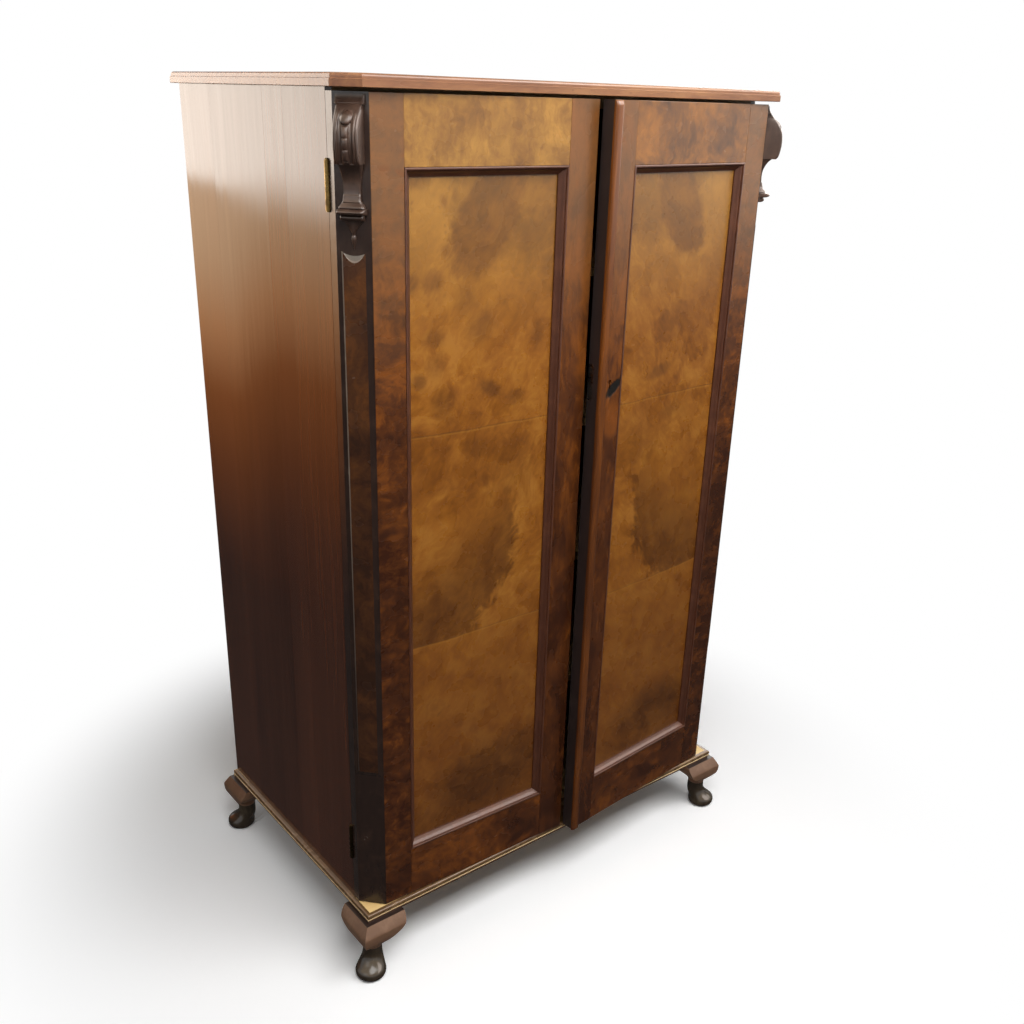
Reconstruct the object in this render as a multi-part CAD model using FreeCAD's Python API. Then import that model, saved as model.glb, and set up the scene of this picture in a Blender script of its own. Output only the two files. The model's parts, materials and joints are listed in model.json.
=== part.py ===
import FreeCAD, Part
import math
import os

V = FreeCAD.Vector
ACROSS = V(1, 0, 0)
BACKWARD = V(0, 1, 0)
UP = V(0, 0, 1)

# Main sizes in millimetres, with the doors shut
carcass_width = 1000.0
carcass_depth = 560.0
door_depth = 62.0
door_height = 1537.0
foot_height = 138.0
plinth_height = 18.0
door_foot_gap = 2.0
door_top_gap = 5.5
door_meeting_gap = 2.0
hinge_line_gap = 1.0
cut_overrun = 5.0
edge_pick_tolerance = 0.01

# How far each door stands open at rest, in degrees
left_ajar = 1.63
right_ajar = 4.87

# Top board: a flat lower band, and an upper band set in and rounded over
top_thickness = 20.0
top_overhang = 17.0
top_back_overhang = 1.0
top_cant = 36.0
top_upper_band = 8.0
top_upper_set_in = 2.0
top_rounding = 5.0

# Carcass boards
side_thickness = 20.0
side_joint_shares = (0.0, 0.255, 0.385, 0.765, 1.0)
side_joint_gap = 0.2
housing_depth = 8.0
bottom_thickness = 20.0
top_rail_thickness = 22.0
top_rail_depth = 80.0
back_thickness = 12.0
back_rebate = 10.0
back_board_count = 6
back_board_gap = 1.0

# Shelves on bearers
shelf_count = 4
shelf_thickness = 18.0
shelf_set_back = 16.0
shelf_end_gap = 1.0
bearer_width = 20.0
bearer_height = 25.0
bearer_end_gap = 4.0

# Plinth frame with a moulded outer edge
plinth_side_projection = 9.5
plinth_front_projection = 10.0
plinth_member_width = 80.0
plinth_fillet_height = 6.0
plinth_fillet_depth = 5.0
plinth_step_height = 2.5
plinth_torus_depth = 3.0

# Cabriole feet: a bulging square knee with two ears, a round ankle and a pad
foot_bulge = 19.7
foot_ear_length = 82.0
foot_ear_thickness = 36.0
foot_ankle_radius = 20.0
foot_ankle_height = 66.0
foot_ankle_inset = 18.8
foot_pad_radius = 32.0
foot_pad_inset = 6.8
foot_outer_shares = (
    (0.38, 1.0),
    (0.79, 0.913),
    (1.0, 0.805),
    (0.955, 0.725),
    (0.79, 0.652),
    (0.25, 0.543),
    (-0.1, 0.45),
)
foot_inner_shares = (
    (0.44, 0.45),
    (0.46, 0.54),
    (0.57, 0.645),
    (0.73, 0.71),
    (0.87, 0.77),
    (0.95, 0.835),
    (1.0, 0.93),
)
foot_taper_shares = ((0.25, 0.44), (0.28, 0.52), (0.44, 0.6), (0.8, 0.69), (1.6, 0.8))
foot_leg_shares = (
    (0.0, 0.74, 0.0),
    (0.0, 0.93, 0.07),
    (0.0, 1.0, 0.2),
    (0.06, 0.94, 0.32),
    (0.55, 0.79, 0.47),
    (0.87, 0.69, 0.61),
    (1.0, 0.635, 0.77),
)
foot_dowel_radius = 9.0
foot_dowel_rise = 12.0
foot_dowel_drop = 30.0
foot_dowel_inset = 24.0

# Door frames
frame_thickness = 28.0
meeting_stile_width = 62.0
hinge_stile_width = 60.5
top_rail_height = 108.0
bottom_rail_height = 110.5
groove_depth = 8.0
tenon_length = 30.0
tenon_shoulder = 14.0
panel_recess = 14.0
panel_thickness = 9.0
panel_play = 0.5

# Moulding planted round each panel
moulding_width = 15.0
moulding_bead_width = 4.5
moulding_bead_height = 1.6
moulding_quirk = 2.0
moulding_lip = 3.0
moulding_hollow = 2.2

# Canted corner posts with a raised field
cant_leg = 41.0
field_width = 54.0
field_proud = 2.5
field_chamfer = 8.5
field_top_drop = 231.0
field_bottom_rise = 312.0
field_scoop_radius = 48.0
field_scoop_depth = 9.0

# Carved corbels: depths run out from the cant, drops run down from the door's top
corbel_drop = 3.0
corbel_height = 184.0
corbel_projection = 36.5
corbel_cap_width = 46.0
corbel_scroll_width = 39.0
corbel_reed_width = 11.0
corbel_reed_proud = 2.0
corbel_neck_width = 30.0
corbel_torus_width = 45.0
corbel_foot_width = 34.0
corbel_cap_shares = ((0.0, 0.0), (0.08, 0.0), (0.2, 0.05), (0.27, 0.075), (0.0, 0.075))
corbel_scroll_shares = (
    (0.25, 0.075),
    (0.42, 0.11),
    (0.7, 0.175),
    (0.92, 0.255),
    (1.0, 0.34),
    (0.985, 0.42),
    (0.92, 0.5),
)
corbel_scroll_end_shares = ((0.84, 0.535), (0.2, 0.545))
corbel_neck_shares = ((0.6, 0.54), (0.36, 0.585), (0.17, 0.66), (0.14, 0.75), (0.2, 0.83), (0.34, 0.865))
corbel_torus_shares = ((0.34, 0.89), (0.66, 0.92), (0.34, 0.95))
corbel_foot_shares = ((0.0, 0.86), (0.36, 0.86), (0.36, 0.965), (0.2, 1.0), (0.0, 1.0))
pendant_width = 31.0
pendant_length = 24.0
pendant_proud = 5.0
pendant_tip_share = 0.12
drop_length = 26.0
drop_radius = 4.5

# Butt hinges, two to a door
hinge_height = 76.0
hinge_inset = 99.0
hinge_axis_outset = 1.0
leaf_width = 19.0
leaf_thickness = 2.0
leaf_gap = 0.3
knuckle_count = 5
knuckle_radius = 4.5
knuckle_gap = 0.3
knuckle_notch_clearance = 0.6
pin_radius = 2.4
pin_clearance = 0.05
pin_cap_height = 2.0
pin_cap_radius = 3.4
screw_shank_radius = 1.8
screw_head_radius = 3.6
screw_length = 18.0
screw_edge_inset = 7.0
screw_place_shares = (0.14, 0.5, 0.86)

# Screws that hold the top board down
top_screw_radius = 2.5
top_screw_head_radius = 5.0
top_screw_head_height = 3.5
top_screw_bite = 10.0
top_screw_place_shares = (-0.8, 0.0, 0.8)

# Bead along the right door's meeting edge
astragal_width = 21.0
astragal_proud = 9.0
astragal_rounding = 7.0

# Lock in the right door and its strike in the left
key_height = 1194.0
key_inset = 33.5
key_bow_radius = 4.0
key_slot_width = 3.6
key_slot_drop = 14.0
lock_width = 45.0
lock_height = 70.0
lock_thickness = 13.0
bolt_length = 28.0
bolt_height = 22.0
bolt_thickness = 6.0
bolt_throw = 9.0
bolt_clearance = 0.3
bolt_edge_set_in = 0.5
bolt_front_wall = 3.0
strike_height = 50.0
strike_width = 12.0
strike_thickness = 1.5
strike_clearance = 1.2
strike_end_gap = 4.0

# Cabin hook on the left door, its bracket, and an eye in a shelf
hook_shelf = 2
hook_inset = 32.0
hook_reach = 30.0
hook_wire_radius = 1.6
hook_tip_drop = 9.0
hook_boss_radius = 4.0
hook_boss_length = 5.4
hook_pin_radius = 2.0
hook_pin_clearance = 0.05
hook_side_gap = 0.3
bracket_lug = 3.0
bracket_plate = 2.0
bracket_height = 26.0
bracket_stand_off = 12.0
eye_radius = 5.0
eye_wire_radius = 1.3
eye_shank_length = 18.0
eye_drop = 3.3

# Levels and places worked out from the sizes above
half_width = carcass_width / 2
plinth_top = foot_height + plinth_height
door_bottom = plinth_top + door_foot_gap
door_top = door_bottom + door_height
top_under = door_top + door_top_gap
inner_half = half_width - side_thickness
meeting_edge = door_meeting_gap / 2
hinge_x = half_width + hinge_axis_outset
open_reach = (hinge_x - meeting_edge) * math.sin(math.radians(right_ajar)) + (
    door_depth + astragal_proud
) * math.cos(math.radians(right_ajar))
back_reach = carcass_depth + foot_pad_radius - foot_pad_inset
hinge_y = (open_reach - back_reach) / 2
front_y = hinge_y - door_depth
carcass_front = hinge_y + hinge_line_gap / 2
post_back = hinge_y - hinge_line_gap / 2
back_y = hinge_y + carcass_depth
back_inner = back_y - back_thickness
frame_back = front_y + frame_thickness
panel_front = front_y + panel_recess
cant_near = half_width - cant_leg
opening_left = meeting_edge + meeting_stile_width
opening_right = cant_near - hinge_stile_width
opening_bottom = door_bottom + bottom_rail_height
opening_top = door_top - top_rail_height
floor_top = plinth_top + bottom_thickness
rail_under = top_under - top_rail_thickness
shelf_front = carcass_front + shelf_set_back
hinge_levels = (door_top - hinge_inset - hinge_height, door_bottom + hinge_inset)


def block(x0, x1, y0, y1, z0, z1):
    """Box between two levels along each axis."""
    return Part.makeBox(x1 - x0, y1 - y0, z1 - z0, V(x0, y0, z0))


def prism(points, sweep):
    """Straight-sided outline swept along a vector."""
    return Part.Face(Part.makePolygon(list(points) + [points[0]])).extrude(sweep)


def curve(points):
    """One smooth edge through the points."""
    spline = Part.BSplineCurve()
    spline.interpolate(points)
    return spline.toShape()


def arc(start, middle, end):
    """Arc edge through three points."""
    return Part.Arc(start, middle, end).toShape()


def line(start, end):
    """Straight edge between two points."""
    return Part.makeLine(start, end)


def swept(edges, sweep):
    """Closed outline of edges swept along a vector."""
    return Part.Face(Part.Wire(edges)).extrude(sweep)


def cut_all(shape, tools):
    """A shape with every tool cut away."""
    for tool in tools:
        shape = shape.cut(tool)
    return shape


def fuse_all(shapes):
    """One solid made of overlapping shapes."""
    whole = shapes[0]
    for shape in shapes[1:]:
        whole = whole.fuse(shape)
    return whole.removeSplitter()


def mirrored(shape):
    """The same shape on the other side of the middle plane."""
    return shape.mirror(V(0, 0, 0), ACROSS)


def mitred_strip(edges_of, length, depth):
    """Moulded strip along x with both ends mitred inward.

    edges_of gives the closed outline at x = 0, with y running inward from the outer edge.
    """
    strip = swept(edges_of, V(length, 0, 0))
    low, high = strip.BoundBox.ZMin - cut_overrun, strip.BoundBox.ZMax + cut_overrun
    reach = depth + cut_overrun
    lift = V(0, 0, high - low)
    corner = [V(0, 0, low), V(reach, reach, low), V(-reach, reach, low), V(-reach, 0, low)]
    near = prism(corner, lift)
    far = prism([V(length - p.x, p.y, p.z) for p in corner], lift)
    return cut_all(strip, [near, far])


def turned(shape, degrees, place):
    """A shape turned about the vertical and then moved to a place."""
    shape = shape.copy()
    shape.rotate(V(0, 0, 0), UP, degrees)
    shape.translate(place)
    return shape


# Top board


def top_outline(inset, level):
    """Outline of the top board with canted front corners, drawn in by an inset."""
    side = half_width + top_overhang - inset
    front = front_y - top_overhang + inset
    back = back_y + top_back_overhang - inset
    leg = top_cant - inset * (2 - math.sqrt(2))
    return [
        V(-side, back, level),
        V(-side, front + leg, level),
        V(leg - side, front, level),
        V(side - leg, front, level),
        V(side, front + leg, level),
        V(side, back, level),
    ]


def top_screw_places():
    """Plan points of the screws through the two top rails."""
    rows = (carcass_front + top_rail_depth / 2, back_inner - top_rail_depth / 2)
    return [V(share * inner_half, row, rail_under) for row in rows for share in top_screw_place_shares]


def top_screw(place):
    """Screw with a flat head sunk into the underside of a top rail."""
    head = Part.makeCylinder(top_screw_head_radius, top_screw_head_height, place, UP)
    shank = Part.makeCylinder(top_screw_radius, top_rail_thickness + top_screw_bite, place, UP)
    return fuse_all([head, shank])


def top_board():
    """Top board in two bands, rounded over at its upper edge."""
    lower_band = top_thickness - top_upper_band
    lower = prism(top_outline(0, top_under), V(0, 0, lower_band))
    upper = prism(top_outline(top_upper_set_in, top_under + lower_band), V(0, 0, top_upper_band))
    crown = top_under + top_thickness
    rims = [e for e in upper.Edges if all(abs(v.Z - crown) < edge_pick_tolerance for v in e.Vertexes)]
    upper = upper.makeFillet(top_rounding, rims)
    return cut_all(fuse_all([lower, upper]), [top_screw(p) for p in top_screw_places()])


# Carcass


def side_boards():
    """Upright boards of the right side, edge to edge, with their housings cut."""
    y_levels = [carcass_front + share * (back_y - carcass_front) for share in side_joint_shares]
    tools = [
        bottom_board(),
        block(inner_half, half_width - back_rebate, back_inner, back_y + cut_overrun, plinth_top, top_under),
    ]
    tools += top_rails()
    for level in hinge_levels:
        tools += [carcass_leaf_space(level), knuckle_space(level)]
        tools += [hinge_screw(level, share, 1) for share in screw_place_shares]
    boards = []
    for front, back in zip(y_levels, y_levels[1:]):
        gap = side_joint_gap if back < back_y else 0
        board = block(inner_half, half_width, front, back - gap, plinth_top, top_under)
        boards.append(cut_all(board, tools))
    return boards


def bottom_board():
    """Carcass floor, housed in both sides."""
    reach = inner_half + housing_depth
    return block(-reach, reach, carcass_front, back_inner, plinth_top, floor_top)


def top_rails():
    """Front and back rails under the top board, housed in both sides."""
    reach = inner_half + housing_depth
    rows = ((carcass_front, carcass_front + top_rail_depth), (back_inner - top_rail_depth, back_inner))
    rails = [block(-reach, reach, y0, y1, rail_under, top_under) for y0, y1 in rows]
    return rails


def drilled_top_rails():
    """Top rails with their screw holes."""
    return [cut_all(rail, [top_screw(p) for p in top_screw_places()]) for rail in top_rails()]


def back_boards():
    """Upright boards that close the back."""
    span = 2 * (half_width - back_rebate)
    pitch = span / back_board_count
    boards = []
    for index in range(back_board_count):
        x0 = index * pitch - span / 2
        gap = back_board_gap if index < back_board_count - 1 else 0
        boards.append(block(x0, x0 + pitch - gap, back_inner, back_y, plinth_top, top_under))
    return boards


def shelf_level(index):
    """Height of the underside of a shelf, counted from the floor of the press."""
    space = (rail_under - floor_top - shelf_count * shelf_thickness) / (shelf_count + 1)
    return floor_top + (index + 1) * space + index * shelf_thickness


def shelf(index):
    """One loose shelf, lying on its bearers."""
    reach = inner_half - shelf_end_gap
    level = shelf_level(index)
    board = block(-reach, reach, shelf_front, back_inner, level, level + shelf_thickness)
    return board.cut(eye_shank()) if index == hook_shelf else board


def bearers():
    """Bearers for every shelf on the right side."""
    front = shelf_front + bearer_end_gap
    back = back_inner - bearer_end_gap
    levels = [shelf_level(index) for index in range(shelf_count)]
    return [block(inner_half - bearer_width, inner_half, front, back, z - bearer_height, z) for z in levels]


# Plinth and feet

plinth_left = -half_width - plinth_side_projection
plinth_front = front_y - plinth_front_projection
plinth_length = -2 * plinth_left
plinth_run = back_y - plinth_front


def plinth_edges(moulded):
    """Closed outline of a plinth member at x = 0, y inward, moulded or plain at its outer edge."""
    low, high, inner = foot_height, plinth_top, plinth_member_width
    step = foot_height + plinth_fillet_height
    bead = step + plinth_step_height
    set_in = plinth_torus_depth
    if not moulded:
        corners = [V(0, 0, low), V(0, 0, high), V(0, inner, high), V(0, inner, low)]
        return [line(a, b) for a, b in zip(corners, corners[1:] + corners[:1])]
    return [
        line(V(0, inner, low), V(0, plinth_fillet_depth, low)),
        line(V(0, plinth_fillet_depth, low), V(0, plinth_fillet_depth, step)),
        line(V(0, plinth_fillet_depth, step), V(0, set_in, step)),
        line(V(0, set_in, step), V(0, set_in, bead)),
        arc(V(0, set_in, bead), V(0, 0, (bead + high) / 2), V(0, set_in, high)),
        line(V(0, set_in, high), V(0, inner, high)),
        line(V(0, inner, high), V(0, inner, low)),
    ]


def plinth_members():
    """The four mitred members of the plinth frame, bored for the feet."""
    front = mitred_strip(plinth_edges(True), plinth_length, plinth_member_width)
    side = mitred_strip(plinth_edges(True), plinth_run, plinth_member_width)
    back = mitred_strip(plinth_edges(False), plinth_length, plinth_member_width)
    members = {
        "plinth_front": turned(front, 0, V(plinth_left, plinth_front, 0)),
        "plinth_left": turned(side, -90, V(plinth_left, back_y, 0)),
        "plinth_right": turned(side, 90, V(-plinth_left, plinth_front, 0)),
        "plinth_back": turned(back, 180, V(-plinth_left, back_y, 0)),
    }
    return {name: cut_all(shape, foot_dowels()) for name, shape in members.items()}


def corner_signs():
    """Left or right and front or back signs of the four corners."""
    return [(x, y) for y in (-1, 1) for x in (-1, 1)]


def foot_corner(x_sign, y_sign):
    """Plan point of a plinth corner."""
    return V(x_sign * -plinth_left, plinth_front if y_sign < 0 else back_y, 0)


def foot_dowels():
    """Dowels that join the feet to the plinth."""
    dowels = []
    for x_sign, y_sign in corner_signs():
        corner = foot_corner(x_sign, y_sign)
        inset = V(-x_sign * foot_dowel_inset, -y_sign * foot_dowel_inset, foot_height - foot_dowel_drop)
        length = foot_dowel_drop + foot_dowel_rise
        dowels.append(Part.makeCylinder(foot_dowel_radius, length, corner + inset, UP))
    return dowels


def foot_outline(lay):
    """Edges of the knee and ears seen square on; lay puts an inward distance and a height in space."""
    outer = [lay(-share * foot_bulge, height * foot_height) for share, height in foot_outer_shares]
    inner = [lay(share * foot_ear_length, height * foot_height) for share, height in foot_inner_shares]
    ear_end = lay(foot_ear_length, foot_height)
    return [
        curve(outer),
        line(outer[-1], inner[0]),
        curve(inner),
        line(inner[-1], ear_end),
        line(ear_end, outer[0]),
    ]


def knee_taper():
    """Round body that softens the knee's corners towards the ankle."""
    rim = [V(r * foot_ear_length, 0, z * foot_height) for r, z in foot_taper_shares]
    top = V(rim[-1].x, 0, foot_height)
    crown = V(0, 0, foot_height)
    root = V(0, 0, rim[0].z)
    outline = [line(root, rim[0]), curve(rim), line(rim[-1], top), line(top, crown), line(crown, root)]
    taper = Part.Face(Part.Wire(outline)).revolve(V(0, 0, 0), UP, 360)
    taper.translate(V(foot_ankle_inset, foot_ankle_inset, 0))
    return taper


def foot_leg():
    """Round leg that leans out from the ankle to the pad."""
    rings = []
    for lean, swell, rise in foot_leg_shares + ((1, foot_ankle_radius / foot_pad_radius, 1),):
        inset = foot_pad_inset + lean * (foot_ankle_inset - foot_pad_inset)
        centre = V(inset, inset, rise * foot_ankle_height)
        rings.append(Part.Wire(Part.makeCircle(swell * foot_pad_radius, centre, UP)))
    return Part.makeLoft(rings, True, False)


def foot_shape():
    """Front left foot with its plinth corner at the origin."""
    start = -foot_bulge - cut_overrun
    reach = foot_ear_length + cut_overrun
    along = swept(foot_outline(lambda inward, z: V(inward, start, z)), V(0, reach - start, 0))
    aback = swept(foot_outline(lambda inward, z: V(start, inward, z)), V(reach - start, 0, 0))
    hollow = block(foot_ear_thickness, reach, foot_ear_thickness, reach, 0, foot_height)
    knee = along.common(aback).cut(hollow).common(knee_taper())
    return fuse_all([knee, foot_leg()])


def feet():
    """The four feet in place, bored for their dowels."""
    shape = foot_shape()
    placed = {}
    for x_sign, y_sign in corner_signs():
        foot = shape.copy()
        if x_sign > 0:
            foot = foot.mirror(V(0, 0, 0), ACROSS)
        if y_sign > 0:
            foot = foot.mirror(V(0, 0, 0), BACKWARD)
        foot.translate(foot_corner(x_sign, y_sign))
        side = "left" if x_sign < 0 else "right"
        row = "front" if y_sign < 0 else "back"
        placed[f"{row}_{side}_foot"] = cut_all(foot, foot_dowels())
    return placed


# Butt hinges on the right side, with their axis at hinge_x and hinge_y


def hinge_axis(level):
    """Foot of the hinge axis at a level."""
    return V(hinge_x, hinge_y, level)


def knuckle_space(level):
    """Room in the wood for the hinge knuckle and the caps of its pin."""
    margin = pin_cap_height + knuckle_notch_clearance
    foot = hinge_axis(level - margin)
    return Part.makeCylinder(knuckle_radius + knuckle_notch_clearance, hinge_height + 2 * margin, foot, UP)


def carcass_leaf_space(level):
    """Plate of the hinge leaf on the carcass."""
    near = hinge_y + leaf_gap / 2
    return block(hinge_x - leaf_width, hinge_x, near, near + leaf_thickness, level, level + hinge_height)


def door_leaf_space(level):
    """Plate of the hinge leaf on the door."""
    near = hinge_y - leaf_gap / 2
    return block(hinge_x - leaf_width, hinge_x, near - leaf_thickness, near, level, level + hinge_height)


def knuckle_runs(level, first):
    """Start levels of every second knuckle."""
    pitch = hinge_height / knuckle_count
    return [level + index * pitch for index in range(first, knuckle_count, 2)]


def hinge_leaf(level, plate, first, bore):
    """One leaf: a plate, its own knuckles and room for the other leaf's knuckles."""
    pitch = hinge_height / knuckle_count
    wide = knuckle_radius + knuckle_gap
    own = [
        Part.makeCylinder(knuckle_radius, pitch - knuckle_gap, hinge_axis(z), UP)
        for z in knuckle_runs(level, first)
    ]
    room = [
        Part.makeCylinder(wide, pitch + knuckle_gap, hinge_axis(z - knuckle_gap), UP)
        for z in knuckle_runs(level, 1 - first)
    ]
    leaf = fuse_all([cut_all(plate, room)] + own)
    pin_way = Part.makeCylinder(bore, hinge_height, hinge_axis(level), UP)
    return leaf.cut(pin_way)


def hinge_screw(level, share, way):
    """Countersunk screw through a leaf, into the carcass when way is 1 and the door when -1."""
    x = hinge_x - leaf_width + screw_edge_inset
    start = V(x, hinge_y + way * leaf_gap / 2, level + share * hinge_height)
    heading = V(0, way, 0)
    head = Part.makeCone(screw_head_radius, screw_shank_radius, leaf_thickness, start, heading)
    shank = Part.makeCylinder(screw_shank_radius, screw_length, start, heading)
    return fuse_all([head, shank])


def hinge_pin(level):
    """Pin of one hinge with a small cap at each end."""
    rod = Part.makeCylinder(pin_radius, hinge_height, hinge_axis(level), UP)
    caps = [
        Part.makeCylinder(pin_cap_radius, pin_cap_height, hinge_axis(level + hinge_height), UP),
        Part.makeCylinder(pin_cap_radius, pin_cap_height, hinge_axis(level - pin_cap_height), UP),
    ]
    return fuse_all([rod] + caps)


def carcass_hinges():
    """Carcass leaves, pins and screws of the right side's hinges."""
    leaves, pins, screws = [], [], []
    for level in hinge_levels:
        held = [hinge_screw(level, share, 1) for share in screw_place_shares]
        leaf = hinge_leaf(level, carcass_leaf_space(level), 0, pin_radius)
        leaves.append(cut_all(leaf, held))
        pins.append(hinge_pin(level))
        screws += held
    return leaves, pins, screws


def door_hinges():
    """Door leaves and screws of the right door's hinges, with the door shut."""
    leaves, screws = [], []
    for level in hinge_levels:
        held = [hinge_screw(level, share, -1) for share in screw_place_shares]
        leaf = hinge_leaf(level, door_leaf_space(level), 1, pin_radius + pin_clearance)
        leaves.append(cut_all(leaf, held))
        screws += held
    return leaves, screws


# Doors, drawn shut on the right side


def panel_shape():
    """Flat panel held in the grooves of its frame."""
    reach = groove_depth - panel_play
    return block(
        opening_left - reach,
        opening_right + reach,
        panel_front,
        panel_front + panel_thickness,
        opening_bottom - reach,
        opening_top + reach,
    )


def panel_groove():
    """Room for the panel's edges in the frame."""
    return block(
        opening_left - groove_depth,
        opening_right + groove_depth,
        panel_front,
        panel_front + panel_thickness,
        opening_bottom - groove_depth,
        opening_top + groove_depth,
    )


def rail_tenons(low, high):
    """Two tenons of a rail between two heights."""
    y0, y1 = panel_front, panel_front + panel_thickness
    return [
        block(opening_left - tenon_length, opening_left, y0, y1, low, high),
        block(opening_right, opening_right + tenon_length, y0, y1, low, high),
    ]


def top_rail_tenons():
    """Tenons of the door's top rail."""
    return rail_tenons(opening_top + groove_depth, door_top - tenon_shoulder)


def bottom_rail_tenons():
    """Tenons of the door's bottom rail."""
    return rail_tenons(door_bottom + tenon_shoulder, opening_bottom - groove_depth)


def frame_pieces():
    """Stiles and rails of the right door."""
    joints = top_rail_tenons() + bottom_rail_tenons()
    groove = panel_groove()
    meeting = block(meeting_edge, opening_left, front_y, frame_back, door_bottom, door_top)
    hanging = block(opening_right, cant_near, front_y, frame_back, door_bottom, door_top)
    top = block(opening_left, opening_right, front_y, frame_back, opening_top, door_top)
    bottom = block(opening_left, opening_right, front_y, frame_back, door_bottom, opening_bottom)
    return {
        "meeting_stile": cut_all(meeting, joints + [groove]),
        "hinge_stile": cut_all(hanging, joints + [groove]),
        "door_top_rail": fuse_all([top.cut(groove)] + top_rail_tenons()),
        "door_bottom_rail": fuse_all([bottom.cut(groove)] + bottom_rail_tenons()),
    }


def moulding_edges():
    """Closed outline of the panel moulding at x = 0, y inward and z out from the panel."""
    face = panel_recess
    bead_end = V(0, moulding_bead_width, face)
    quirk_foot = V(0, moulding_bead_width, face - moulding_quirk)
    lip = V(0, moulding_width, moulding_lip)
    middle = (quirk_foot + lip) / 2 - V(0, 0, moulding_hollow)
    return [
        line(V(0, 0, 0), V(0, 0, face)),
        arc(V(0, 0, face), V(0, moulding_bead_width / 2, face + moulding_bead_height), bead_end),
        line(bead_end, quirk_foot),
        arc(quirk_foot, middle, lip),
        line(lip, V(0, moulding_width, 0)),
        line(V(0, moulding_width, 0), V(0, 0, 0)),
    ]


def moulding_strip(length, start, along, inward):
    """Mitred moulding from a start corner, running along one way and lying inward another."""
    strip = mitred_strip(moulding_edges(), length, moulding_width)
    out = V(0, -1, 0)
    place = FreeCAD.Matrix(
        along.x, inward.x, out.x, start.x,
        along.y, inward.y, out.y, start.y,
        along.z, inward.z, out.z, start.z,
        0, 0, 0, 1,
    )
    return strip.transformed(place)


def panel_moulding():
    """Four mitred strips round the right door's panel."""
    width = opening_right - opening_left
    height = opening_top - opening_bottom
    down, left = V(0, 0, -1), V(-1, 0, 0)
    return [
        moulding_strip(width, V(opening_left, panel_front, opening_bottom), ACROSS, UP),
        moulding_strip(height, V(opening_right, panel_front, opening_bottom), UP, left),
        moulding_strip(width, V(opening_right, panel_front, opening_top), left, down),
        moulding_strip(height, V(opening_left, panel_front, opening_top), down, ACROSS),
    ]


def corner_post():
    """Canted post that carries the hinges."""
    outline = [
        V(cant_near, front_y, door_bottom),
        V(half_width, front_y + cant_leg, door_bottom),
        V(half_width, post_back, door_bottom),
        V(cant_near, post_back, door_bottom),
    ]
    tools = []
    for level in hinge_levels:
        tools += [door_leaf_space(level), knuckle_space(level)]
        tools += [hinge_screw(level, share, -1) for share in screw_place_shares]
    return cut_all(prism(outline, V(0, 0, door_height)), tools)


def on_cant(shape):
    """Move a shape from cant axes (x along, y out, z up from the door's top) to the right post."""
    root = math.sqrt(2)
    place = FreeCAD.Matrix(
        1 / root, 1 / root, 0, half_width - cant_leg / 2,
        1 / root, -1 / root, 0, front_y + cant_leg / 2,
        0, 0, 1, door_top,
        0, 0, 0, 1,
    )
    return shape.transformed(place)


def post_field():
    """Raised field on the cant, chamfered at its edges and scooped at its upper end."""
    half = field_width / 2
    low = door_bottom + field_bottom_rise - door_top
    high = -field_top_drop
    face = [V(-half, 0, low), V(half, 0, low), V(half - field_chamfer, field_proud, low)]
    field = prism(face + [V(field_chamfer - half, field_proud, low)], V(0, 0, high - low))
    centre = V(0, -cut_overrun, high - field_scoop_depth + field_scoop_radius)
    scoop = Part.makeCylinder(field_scoop_radius, field_proud + 2 * cut_overrun, centre, BACKWARD)
    return on_cant(field.cut(scoop))


def corbel_point(x):
    """Function that puts a corbel share (out, down) in space at a place along the cant."""
    return lambda out, down: V(x, out * corbel_projection, -corbel_drop - down * corbel_height)


def corbel_band(shares, width):
    """Straight-edged corbel member of a width."""
    lay = corbel_point(-width / 2)
    return prism([lay(out, down) for out, down in shares], V(width, 0, 0))


def corbel_scroll(width, extra):
    """Swelling scroll with a flat underside."""
    lay = corbel_point(-width / 2)
    push = V(0, extra, 0)
    bow = [lay(out, down) + push for out, down in corbel_scroll_shares]
    end = [lay(out, down) + push for out, down in corbel_scroll_end_shares]
    root = [lay(0, corbel_scroll_end_shares[-1][1]), lay(0, corbel_scroll_shares[0][1])]
    path = [bow[-1]] + end + root + [bow[0]]
    edges = [curve(bow)] + [line(a, b) for a, b in zip(path, path[1:])]
    return swept(edges, V(width, 0, 0))


def corbel_neck():
    """Hollow neck between the scroll and the torus."""
    lay = corbel_point(-corbel_neck_width / 2)
    hollow = [lay(out, down) for out, down in corbel_neck_shares]
    path = [hollow[-1], lay(0, corbel_neck_shares[-1][1]), lay(0, corbel_neck_shares[0][1]), hollow[0]]
    edges = [curve(hollow)] + [line(a, b) for a, b in zip(path, path[1:])]
    return swept(edges, V(corbel_neck_width, 0, 0))


def corbel_torus():
    """Half-round member under the neck."""
    lay = corbel_point(-corbel_torus_width / 2)
    start, middle, end = [lay(out, down) for out, down in corbel_torus_shares]
    path = [end, lay(0, corbel_torus_shares[-1][1]), lay(0, corbel_torus_shares[0][1]), start]
    edges = [arc(start, middle, end)] + [line(a, b) for a, b in zip(path, path[1:])]
    return swept(edges, V(corbel_torus_width, 0, 0))


def corbel_pendant():
    """Inverted triangle and drop below the corbel."""
    top = -corbel_drop - corbel_height
    half = pendant_width / 2
    tip = half * pendant_tip_share
    foot = top - pendant_length
    outline = [V(-half, 0, top), V(half, 0, top), V(tip, 0, foot), V(-tip, 0, foot)]
    leaf = prism(outline, V(0, pendant_proud, 0))
    drop = Part.makeCone(drop_radius, tip, drop_length, V(0, 0, foot + drop_radius), V(0, 0, -1))
    behind = block(-half, half, -half, 0, foot - drop_length, top)
    return fuse_all([leaf, drop.cut(behind)])


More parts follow.
